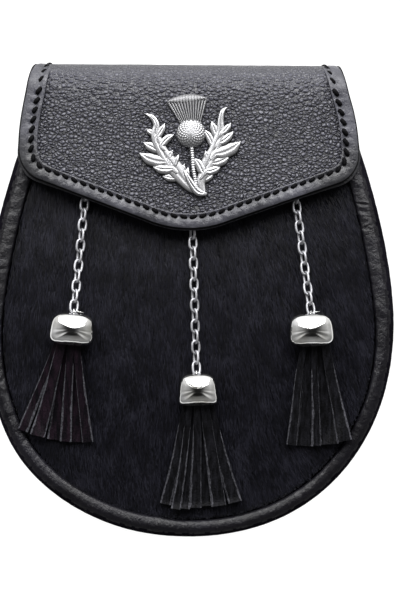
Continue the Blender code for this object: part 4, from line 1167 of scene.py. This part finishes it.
def put_crown(stock):
    """The crown: a fan of bristles over a web, and the jagged tuft across their heads."""
    neck_left, neck_right, neck_y = CROWN_NECK
    (head_left, head_left_y), (head_right, head_right_y) = CROWN_HEAD
    neck_width, head_width = neck_right - neck_left, head_right - head_left
    head_rise = head_right_y - head_left_y
    steps = np.linspace(0, 1, 8)[:, None]
    for number in range(BRISTLES):
        share = number / (BRISTLES - 1)
        bulge = math.sin(math.pi * share)
        foot = np.array((neck_left + neck_width * share, neck_y + 0.4 * bulge, 0.7 + 1.7 * bulge))
        head = np.array((head_left + head_width * share, head_left_y + head_rise * share - 0.7 * bulge,
                         0.8 + 2.2 * bulge))
        lay_bar(stock, on_flap(foot + (head - foot) * steps), 0.28 + 0.34 * steps[:, 0], sides=8, crest=True)

    u, v = np.meshgrid(np.linspace(0, 1, 31), np.linspace(0, 1, 9), indexing="ij")
    web_x = (neck_left + neck_width * u) * (1 - v) + (head_left + head_width * u) * v
    web_y = neck_y * (1 - v) + (head_left_y + head_rise * u) * v
    web_height = 0.35 + (0.9 + 1.0 * v) * np.sin(math.pi * np.clip(u, 0.02, 0.98)) ** 0.7
    put_relief(stock, web_x, web_y, web_height, 0 * u)

    u, v = np.meshgrid(np.linspace(0, 1, 157), np.linspace(0, 1, 9), indexing="ij")
    arch = np.sin(math.pi * u)
    tuft_x = head_left - CROWN_OVERHANG + (head_width + 2 * CROWN_OVERHANG) * u
    middle_y = head_left_y + head_rise * u
    low = middle_y - 1.0 * arch - 0.45 * np.abs(np.sin(BRISTLES * math.pi * u))
    high = middle_y + 2.2 * arch ** 0.8
    bristling = 0.3 * np.abs(np.sin(2 * BRISTLES * math.pi * u)) * (1 - 0.6 * v)
    tuft_height = 1.2 + 2.2 * arch * (1 - 0.2 * v) + 0.12 * np.sin(math.pi * v) + bristling
    tuft_crest = 0.1 + 0.35 * np.sin(math.pi * np.clip(v, 0.1, 0.9)) + bristling
    put_relief(stock, tuft_x, low + (high - low) * v, tuft_height, tuft_crest)


def make_badge(silver):
    """The cast thistle: scaled bulb, bristling crown, beaded stem and leafy sprays."""
    stock = Stock()
    put_bulb(stock)
    put_crown(stock)
    put_stem(stock)
    put_blade(stock, ROOT, 1.5, steps=40, lift=0.5)
    for rows in SPRAYS:
        put_blade(stock, rows, 1.0, teeth=0.1, steps=70, lift=0.35)
    for number, leaf in enumerate(LEAVES):
        put_leaf(stock, *leaf, lift=0.22 * (number % 3))
    badge = stock.piece("thistle", [silver], sharp=50.0)
    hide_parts("thistle_badge")


# ------------------------------------------------------------------ chains, caps and tassels

HANGERS = {
    # cap top x, cap top y, slant of the chain (x per y), links, turn of the cap about its chain
    "left":   (-53.0, -6.9,  0.082,  13, 15.0),
    "centre": (4.3,   -35.1, -0.035, 15, 0.0),
    "right":  (57.4,  -7.1,  -0.132, 13, -15.0),
}
STRIPS = {
    # foot x and foot y from the middle of the cap's mouth, width, layer
    "left": (
        (-22.6, -40.6, 5.0, 0),
        (-15.6, -43.0, 7.0, 1),
        (-7.8,  -45.0, 7.4, 0),
        (-2.6,  -45.7, 5.6, 1),
        (2.2,   -46.0, 6.2, 0),
        (7.9,   -45.8, 5.2, 1),
    ),
    "centre": (
        (-14.5, -46.6, 5.4, 0),
        (-9.7,  -48.6, 4.4, 1),
        (-5.4,  -48.6, 4.4, 0),
        (-0.6,  -47.9, 5.4, 1),
        (4.6,   -47.2, 4.8, 0),
        (10.3,  -47.0, 7.0, 1),
        (18.0,  -45.4, 6.4, 0),
    ),
    "right": (
        (-10.2, -46.4, 4.8, 1),
        (-4.4,  -46.9, 7.2, 0),
        (1.2,   -46.9, 4.4, 1),
        (7.2,   -46.0, 8.6, 0),
        (14.6,  -44.2, 6.6, 1),
    ),
}


def hanger_axis(side):
    """Unit direction of a chain, upwards."""
    return Vector((HANGERS[side][2], 1.0, 0.0)).normalized()


def cap_frame(side):
    """Where a cap lies: its top middle at the origin, +Y up its chain, +Z out of its face."""
    x, y, slant, _, turn = HANGERS[side]
    axis = hanger_axis(side)
    lean = Matrix.Rotation(-math.atan(slant), 4, "Z")
    roll = Matrix.Rotation(math.radians(turn), 4, "Y")
    middle = Vector((x, y, 0)) - axis * CAP_HEIGHT / 2
    sunk = CAP_WIDTH / 2 * abs(math.sin(math.radians(turn)))
    lift = CAP_DEPTH / 2 * math.cos(math.radians(turn)) + sunk
    surface = max(
        float(front_height(middle.x + dx, middle.y + dy))
        for dx in (-CAP_WIDTH / 2, 0, CAP_WIDTH / 2)
        for dy in (-CAP_HEIGHT * 0.4, 0, CAP_HEIGHT * 0.6)
    )
    return Matrix.Translation((x, y, surface + LYING_GAP + lift)) @ lean @ roll


def chain_frames(side):
    """Frames of a chain's links from the cap's eye up to the rivet, each link long along its Y."""
    axis = hanger_axis(side)
    across = axis.cross(Vector((0, 0, 1)))
    seat = cap_frame(side) @ Vector((0, EYE_SEAT, 0))
    bearing = seat + axis * (LINK_LENGTH - WIRE - LINK_PITCH) / 2
    frames = []
    for number in range(HANGERS[side][3]):
        ahead = bearing + axis * LINK_PITCH
        climb = float(front_height(ahead.x, ahead.y)) + CHAIN_LIFT - bearing.z
        climb = min(max(climb, -LINK_CLIMB), LINK_CLIMB)
        along = (axis * LINK_PITCH + Vector((0, 0, climb))).normalized()
        lie = Matrix((across, along, across.cross(along))).transposed().to_4x4()
        tilt = Matrix.Rotation(LINK_TILTS[number % 2], 4, "Y")
        frames.append(Matrix.Translation(bearing + along * LINK_PITCH / 2) @ lie @ tilt)
        bearing = bearing + along * LINK_PITCH
    return frames


def moved(points, matrix):
    """Points moved by a matrix."""
    matrix = np.array(matrix)
    return np.asarray(points) @ matrix[:3, :3].T + matrix[:3, 3]


def put_ring(stock, matrix, half_breadth, half_length, wire):
    """A closed ring of round wire, an oval in the matrix's own XY plane; wire is its radius."""
    turns = np.linspace(0, 2 * math.pi, 36, endpoint=False)
    stretch = half_length - half_breadth
    x = half_breadth * np.cos(turns)
    y = half_breadth * np.sin(turns) + stretch * np.tanh(np.sin(turns) * 2.6)
    path = moved(np.stack((x, y, 0 * x), axis=1), matrix)
    lay_bar(stock, path, wire, sides=12, up=np.array(matrix)[:3, 2], closed=True)


def make_chain(side, silver):
    """The trace chain of oval links, each a little fuller than the solid one."""
    half_breadth = (LINK_WIDTH - WIRE) / 2 + 0.1
    half_length = (LINK_LENGTH - WIRE) / 2 + 0.15
    wire = WIRE / 2 + 0.07
    stock = Stock()
    for matrix in chain_frames(side):
        put_ring(stock, matrix, half_breadth, half_length, wire)
    chain = stock.piece(f"trace_chain_{side}", [silver])
    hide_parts(f"chain_{side}")


CAP_SHAPES = {
    # share of its turn taken back, extra half width, extra half height, fullness of the lower corners,
    # moved in x, moved in y, turned upright in degrees
    "left":   (0.6, 1.6, 0.6, 3.8, 0.3,  0.2, 0.0),
    "centre": (0.0, 0.4, 0.6, 7.0, 0.4,  0.9, 0.0),
    "right":  (0.6, 1.7, 0.8, 3.8, -0.6, 1.0, -5.0),
}
CAP_POINT = 2.1 * CAP_CROWN     # how far the point of its face stands out
CAP_TAPER = 0.06
CAP_CORNER = 3.2                # fullness of the upper corners; 2 would be a half round
CAP_FOOT_CUSHION = 2.6          # fullness of the lower half's depth
CAP_SQUARENESS = 3.4            # of its section
PLEATS = 15
PLEAT_DEPTH = 0.1
TONGUE_RISE = 0.32
CAP_MOUTH = (
    # share of the mouth's size, distance up from it: the rolled lip, the inner wall and its end
    (0.965, -0.12), (0.93, 0.0), (0.91, 0.3), (0.94, 2.5), (0.95, 7.0), (0.5, 7.6), (0.02, 7.7),
)
JUMP_RINGS = {
    # how far its middle lies to the right of the eye, lean in degrees
    "left":  (3.0, -9.0),
    "right": (1.7, 0.0),
}
JUMP_RING_RADIUS = 2.6
JUMP_RING_WIRE = 0.32
JUMP_RING_RISE = 1.9
JUMP_RING_TURN = math.radians(89)   # seen almost edge-on


def cap_relief(across, station):
    """How far a cap's face stands out at places from -1 to 1 across and up it: a low four-sided point,
    faint pleats fanning out below it and a short raised tongue at its foot."""
    reach = np.minimum((np.abs(across) ** 8 + np.abs(station) ** 8) ** (1 / 8), 1)
    spin = np.sin(np.arctan2(station, across))
    power = 1.15 + 0.45 * smooth((0.7 - spin) / 0.3) + 1.2 * smooth((-0.6 - spin) / 0.2)
    low = smooth((0.1 - spin) / 0.3)
    pleats = low * PLEAT_DEPTH * np.sin(PLEATS * np.arcsin(spin)) * (1 - reach) * reach * 4
    foot = smooth((-station - 0.45) / 0.3)
    tongue = TONGUE_RISE * np.exp(-(across / 0.16) ** 2) * foot * (1 - reach) * 3
    return CAP_POINT * (1 - reach ** power) + pleats + tongue


def cap_rings(wider, taller, foot_corner):
    """Rings of points of a cap, from its top down its outer face and back up inside its mouth."""
    turns = np.linspace(0, 2 * math.pi, 120, endpoint=False)
    cos, sin = np.cos(turns), np.sin(turns)
    ring_x = np.sign(cos) * np.abs(cos) ** (2 / CAP_SQUARENESS)
    ring_z = np.sign(sin) * np.abs(sin) ** (2 / CAP_SQUARENESS)
    half_breadth, half_height = CAP_WIDTH / 2 + wider, CAP_HEIGHT / 2 + taller
    rings = []
    for station in np.concatenate((1 - np.geomspace(0.002, 0.3, 16), np.linspace(0.68, -0.955, 44))):
        corner = CAP_CORNER if station > 0 else foot_corner
        fullness = (1 - abs(station) ** corner) ** (1 / corner)
        x = half_breadth * (1 - CAP_TAPER * station) * fullness * ring_x
        cushion = CAP_CORNER if station > 0 else CAP_FOOT_CUSHION
        thick = (1 - abs(station) ** cushion) ** (0.75 / cushion)
        z = CAP_DEPTH / 2 * thick * ring_z
        z = z + np.where(ring_z > 0, ring_z * cap_relief(x / half_breadth, station), 0)
        y = np.full_like(x, (station - 1) * half_height + 0.5)
        rings.append(np.stack((x, y, z), axis=1))
    mouth = rings[-1]
    middle = mouth.mean(axis=0)
    for share, up in CAP_MOUTH:
        rings.append(middle + (mouth - middle) * share + np.array((0, up, 0)))
    return np.array(rings)


def make_cap(side, silver):
    """The pressed silver cap with its eye and, at the left and the right, a thin loose ring beside it:
    a cushion with a point on its face, and a wall with a rolled mouth, hollow for the tassel."""
    taken_back, wider, taller, foot_corner, shift_x, shift_y, upright = CAP_SHAPES[side]
    rings = cap_rings(wider, taller, foot_corner)
    lie = Matrix.Translation((shift_x, shift_y, 0)) @ cap_frame(side)
    lie = lie @ Matrix.Rotation(math.radians(-taken_back * HANGERS[side][4]), 4, "Y")
    lie = lie @ Matrix.Rotation(math.radians(upright), 4, "Z")
    stock = Stock()
    count, around = rings.shape[:2]
    stock.put(moved(rings.reshape(-1, 3), lie), grid_faces(count, around, wrap=True))
    first, last = np.arange(around), (count - 1) * around + np.arange(around)
    stock.join((first, last))
    eye = cap_frame(side) @ Matrix.Translation((0, EYE_RISE, 0)) @ Matrix.Rotation(math.pi / 2, 4, "Y")
    put_ring(stock, eye, EYE_RADIUS, EYE_RADIUS, EYE_WIRE / 2)
    if side in JUMP_RINGS:
        beside, lean = JUMP_RINGS[side]
        loose = cap_frame(side) @ Matrix.Translation((0, JUMP_RING_RISE, 0))
        loose = loose @ Matrix.Rotation(math.radians(lean), 4, "Z") @ Matrix.Translation((beside, 0, 0))
        loose = loose @ Matrix.Rotation(JUMP_RING_TURN, 4, "X")
        put_ring(stock, loose, JUMP_RING_RADIUS, JUMP_RING_RADIUS, JUMP_RING_WIRE / 2)
    cap = stock.piece(f"silver_cap_{side}", [silver])
    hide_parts(f"tassel_cap_{side}")


STRIP_ROWS = 70
STRIP_COLUMNS = 11


def make_tassel(side, leather, edge):
    """The bundle of cut leather strips that falls out of its cap. Their long edges are shaved thin
    and show pale further down."""
    axis_frame = cap_frame(side)
    mouth = axis_frame @ Vector((0, -CAP_HEIGHT, 0))
    rows = STRIPS[side]
    widest = max(abs(row[0]) for row in rows)
    random = np.random.default_rng(SEED + 70 + len(rows))
    stock = Stock()
    for foot_x, foot_y, width, layer in rows:
        root = axis_frame @ Vector((foot_x / widest * ROOT_SPREAD, ROOT_DEPTH - CAP_HEIGHT, STRIP * layer))
        foot = mouth + Vector((foot_x, foot_y, 0))
        across = (foot - root).cross(Vector((0, 0, 1))).normalized()
        fall = root.z - float(front_height(root.x, root.y)) - LYING_GAP - STRIP * (layer + 1)
        v, u = np.meshgrid(np.linspace(0, 1, STRIP_ROWS), np.linspace(0, 1, STRIP_COLUMNS), indexing="ij")
        span = width * (ROOT_NARROWING + (1 - ROOT_NARROWING) * v)
        shave = (1.05 + 0.4 * unevenness(60 * v, 9 * np.round(u) + foot_x, 2.0, 71)) / span
        left_share, right_share = random.uniform(0.25, 0.95, 2)
        shave = shave * (0.15 + 0.85 * smooth(v * 1.6 - 0.15)) * np.where(u < 0.5, left_share, right_share)
        u = np.where((u > 0.01) & (u < 0.99), shave + (u - 0.1) / 0.8 * (1 - 2 * shave), u)
        breadth = (u - 0.5) * span
        sway = random.uniform(-0.9, 0.9) * np.sin(math.pi * v) + random.uniform(-0.3, 0.3) * np.sin(7 * v)
        x = root.x + (foot.x - root.x) * v + across.x * (breadth + sway)
        y = root.y + (foot.y - root.y) * v + across.y * (breadth + sway)
        ground = lying_height(x, y) + LYING_GAP + STRIP * (1.05 * layer + 1)
        cup = random.uniform(0.1, 0.5) * (2 * u - 1) ** 2 * smooth(v * 2)
        twist = random.uniform(-0.4, 0.4) * (2 * u - 1) * v
        z = ground + fall * (1 - v) ** 2 + cup + twist + 0.12 * unevenness(x, y, 7, 72 + layer)
        z = z - 0.45 * ((u < 0.001) | (u > 0.999))  # the shaved edges slope down
        shaved = np.zeros((STRIP_ROWS - 1, STRIP_COLUMNS - 1), int)
        for side_column in (0, -1):
            shaved[int(random.uniform(12, 24)):, side_column] = 1
        lay_sheet(stock, np.stack((x, y, z), axis=-1), STRIP, finishes=(shaved.ravel(), 0, 0), bulge=0.15)
    tassel = stock.piece(f"leather_tassel_{side}", [leather, edge], sharp=40.0)
    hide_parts(f"tassel_{side}")


# ------------------------------------------------------------------ studio, in metres

PALE_FLOOR_SIZE = 3.0
WINDOW_PLACE = Vector((0.0, 0.95, 0.85))
WINDOW_AIM = Vector((0.0, 0.0, 0.02))
WINDOW_SIZE = (2.0, 0.8)
WINDOW_POWER = 42.0
CAMERA_PLACE = (0.00564, 0.0002, 0.813)
CAMERA_TURN = math.radians(0.4)
CAMERA_LENS = 100.0         # in millimetres, and so is its sensor
CAMERA_SENSOR = 36.0


def make_floor():
    """The lit floor that the pouch lies on."""
    bm = bmesh.new()
    bmesh.ops.create_grid(bm, x_segments=1, y_segments=1, size=PALE_FLOOR_SIZE)
    mesh = bpy.data.meshes.new("pale_floor")
    bm.to_mesh(mesh)
    bm.free()
    mesh.materials.append(lit_acrylic())
    floor = bpy.data.objects.new("pale_floor", mesh)
    bpy.context.scene.collection.objects.link(floor)


def make_air():
    """The room's light: pale walls, a dark ceiling over the pouch, brighter beyond its top fold."""
    world = bpy.data.worlds.new("studio_air")
    bpy.context.scene.world = world
    world.use_nodes = True
    air = world.node_tree
    direction = add(air, PLACE, "Generated")
    up = add(air, PARTS, "Z", {"Vector": direction})
    beyond = add(air, PARTS, "Y", {"Vector": direction})
    walls = add(air, RAMP, "Color", {"Fac": up}, [
        (0.0, grey(0.5)), (0.5, grey(0.62)), (0.78, grey(0.36)), (0.9, grey(0.1)), (0.97, grey(0.02))])
    brighter = add(air, RANGE, "Result", {
        "Value": beyond, "From Min": -0.3, "From Max": 0.95, "To Min": 0.6, "To Max": 3.0})
    glow = add(air, VECTOR, "Vector", {0: walls, 1: brighter}, operation="MULTIPLY")
    background = air.nodes["Background"]
    background.inputs["Strength"].default_value = 1.0
    lead(air, background, Color=glow)


def make_window():
    """One wide soft light beyond the top fold, which draws the long highlights on rim and caps."""
    light = bpy.data.lights.new("window_above", "AREA")
    light.shape = "RECTANGLE"
    light.size, light.size_y = WINDOW_SIZE
    light.energy = WINDOW_POWER
    lamp = bpy.data.objects.new("window_above", light)
    lamp.location = WINDOW_PLACE
    lamp.rotation_euler = (WINDOW_AIM - WINDOW_PLACE).to_track_quat("-Z", "Y").to_euler()
    bpy.context.scene.collection.objects.link(lamp)


def make_camera():
    """The camera straight over the pouch."""
    camera = bpy.data.cameras.new("camera")
    camera.lens = CAMERA_LENS
    camera.sensor_width = CAMERA_SENSOR
    viewpoint = bpy.data.objects.new("camera", camera)
    viewpoint.location = CAMERA_PLACE
    viewpoint.rotation_euler = (0.0, 0.0, CAMERA_TURN)
    bpy.context.scene.collection.objects.link(viewpoint)
    bpy.context.scene.camera = viewpoint
    bpy.context.scene.view_settings.view_transform = "Standard"


# ------------------------------------------------------------------ the whole pouch

HAIRS = 33000


def dress(nodes, material):
    """Give plain hidden nodes of the frame their finish."""
    for node in nodes:
        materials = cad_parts[node].data.materials
        materials.clear()
        materials.append(material)


def main():
    """Dress every piece of the pouch, then set up the studio round it."""
    polished_calf = smooth_calf(
        "black_calf_rim", dark="#08070b", light="#131219", crease_mm=1.5, shine=(0.32, 0.5), wax=0.34)
    # the border's colour is painted darker round the flap's lower corners, as shade
    border_calf = smooth_calf(
        "black_calf_border", dark="#27272c", light="#45454d", crease_mm=2.3, shine=(0.24, 0.6), wax=0.5,
        shaded_corner=(76.0, 60.0))
    back_calf = smooth_calf(
        "black_calf_back", dark="#141417", light="#242429", crease_mm=3.0, shine=(0.36, 0.56), wax=0.4)
    edge = raw_edge("raw_leather_edge", dark="#18181b", light="#444449")
    dyed_edge = raw_edge("dyed_leather_edge", dark="#2c2c30", light="#4a4a50")
    thread = waxed_thread()
    plate = silver_plate(
        "polished_silver_plate", roughness=0.06, tarnish="#a6a49c", bright="#d2d2d2", wear_mm=12.0)
    chain_plate = silver_plate(
        "chain_silver_plate", roughness=0.48, tarnish="#8c8c8f", bright="#b4b4b8", wear_mm=5.0)
    matt_calf = smooth_calf(
        "black_calf_shoulder", dark="#0b0a0e", light="#16151a", crease_mm=1.8, shine=(0.55, 0.7), wax=0.0)
    wall_calf = smooth_calf(
        "black_calf_wall", dark="#0c0c10", light="#18181e", crease_mm=1.8, shine=(0.4, 0.6), wax=0.35)
    dull_calf = smooth_calf(
        "black_calf_dull", dark="#08070b", light="#121116", crease_mm=1.8, shine=(0.42, 0.58), wax=0.13)
    make_gusset(polished_calf, dull_calf, matt_calf, wall_calf)

    make_hide(hair_roots())
    undercoat = pony_hair("undercoat_hair", dark="#040406", light="#0b0b0f", roughness=0.5)
    guard = pony_hair("guard_hair", dark="#08080b", light="#13131a", roughness=0.42)
    make_hair("undercoat", HAIRS, length=6.0, width=0.34, lift=0.5, seed=12, material=undercoat)
    make_hair("guard_hairs", HAIRS, length=8.5, width=0.26, lift=0.8, seed=13, material=guard)

    make_back(back_calf)
    make_lining(back_calf, edge)
    make_grain_panel(pebbled_cowhide())
    make_border(border_calf, dyed_edge, raw_edge("painted_edge", dark="#030304", light="#08080a"))
    make_stitches(thread)
    make_badge(cast_silver())

    warm = tassel_leather("tassel_leather_warm", dark="#060508", light="#1b1119")
    black = tassel_leather("tassel_leather_black", dark="#050506", light="#18181c")
    for side in HANGERS:
        make_chain(side, chain_plate)
        make_cap(side, plate)
        make_tassel(side, warm if side == "left" else black, edge)

    dress(("chain_rivet_left", "chain_rivet_centre", "chain_rivet_right", "closure_stud"), plate)
    dress(("belt_loop_left", "belt_loop_right"), back_calf)
    make_floor()
    make_air()
    make_window()
    make_camera()


main()
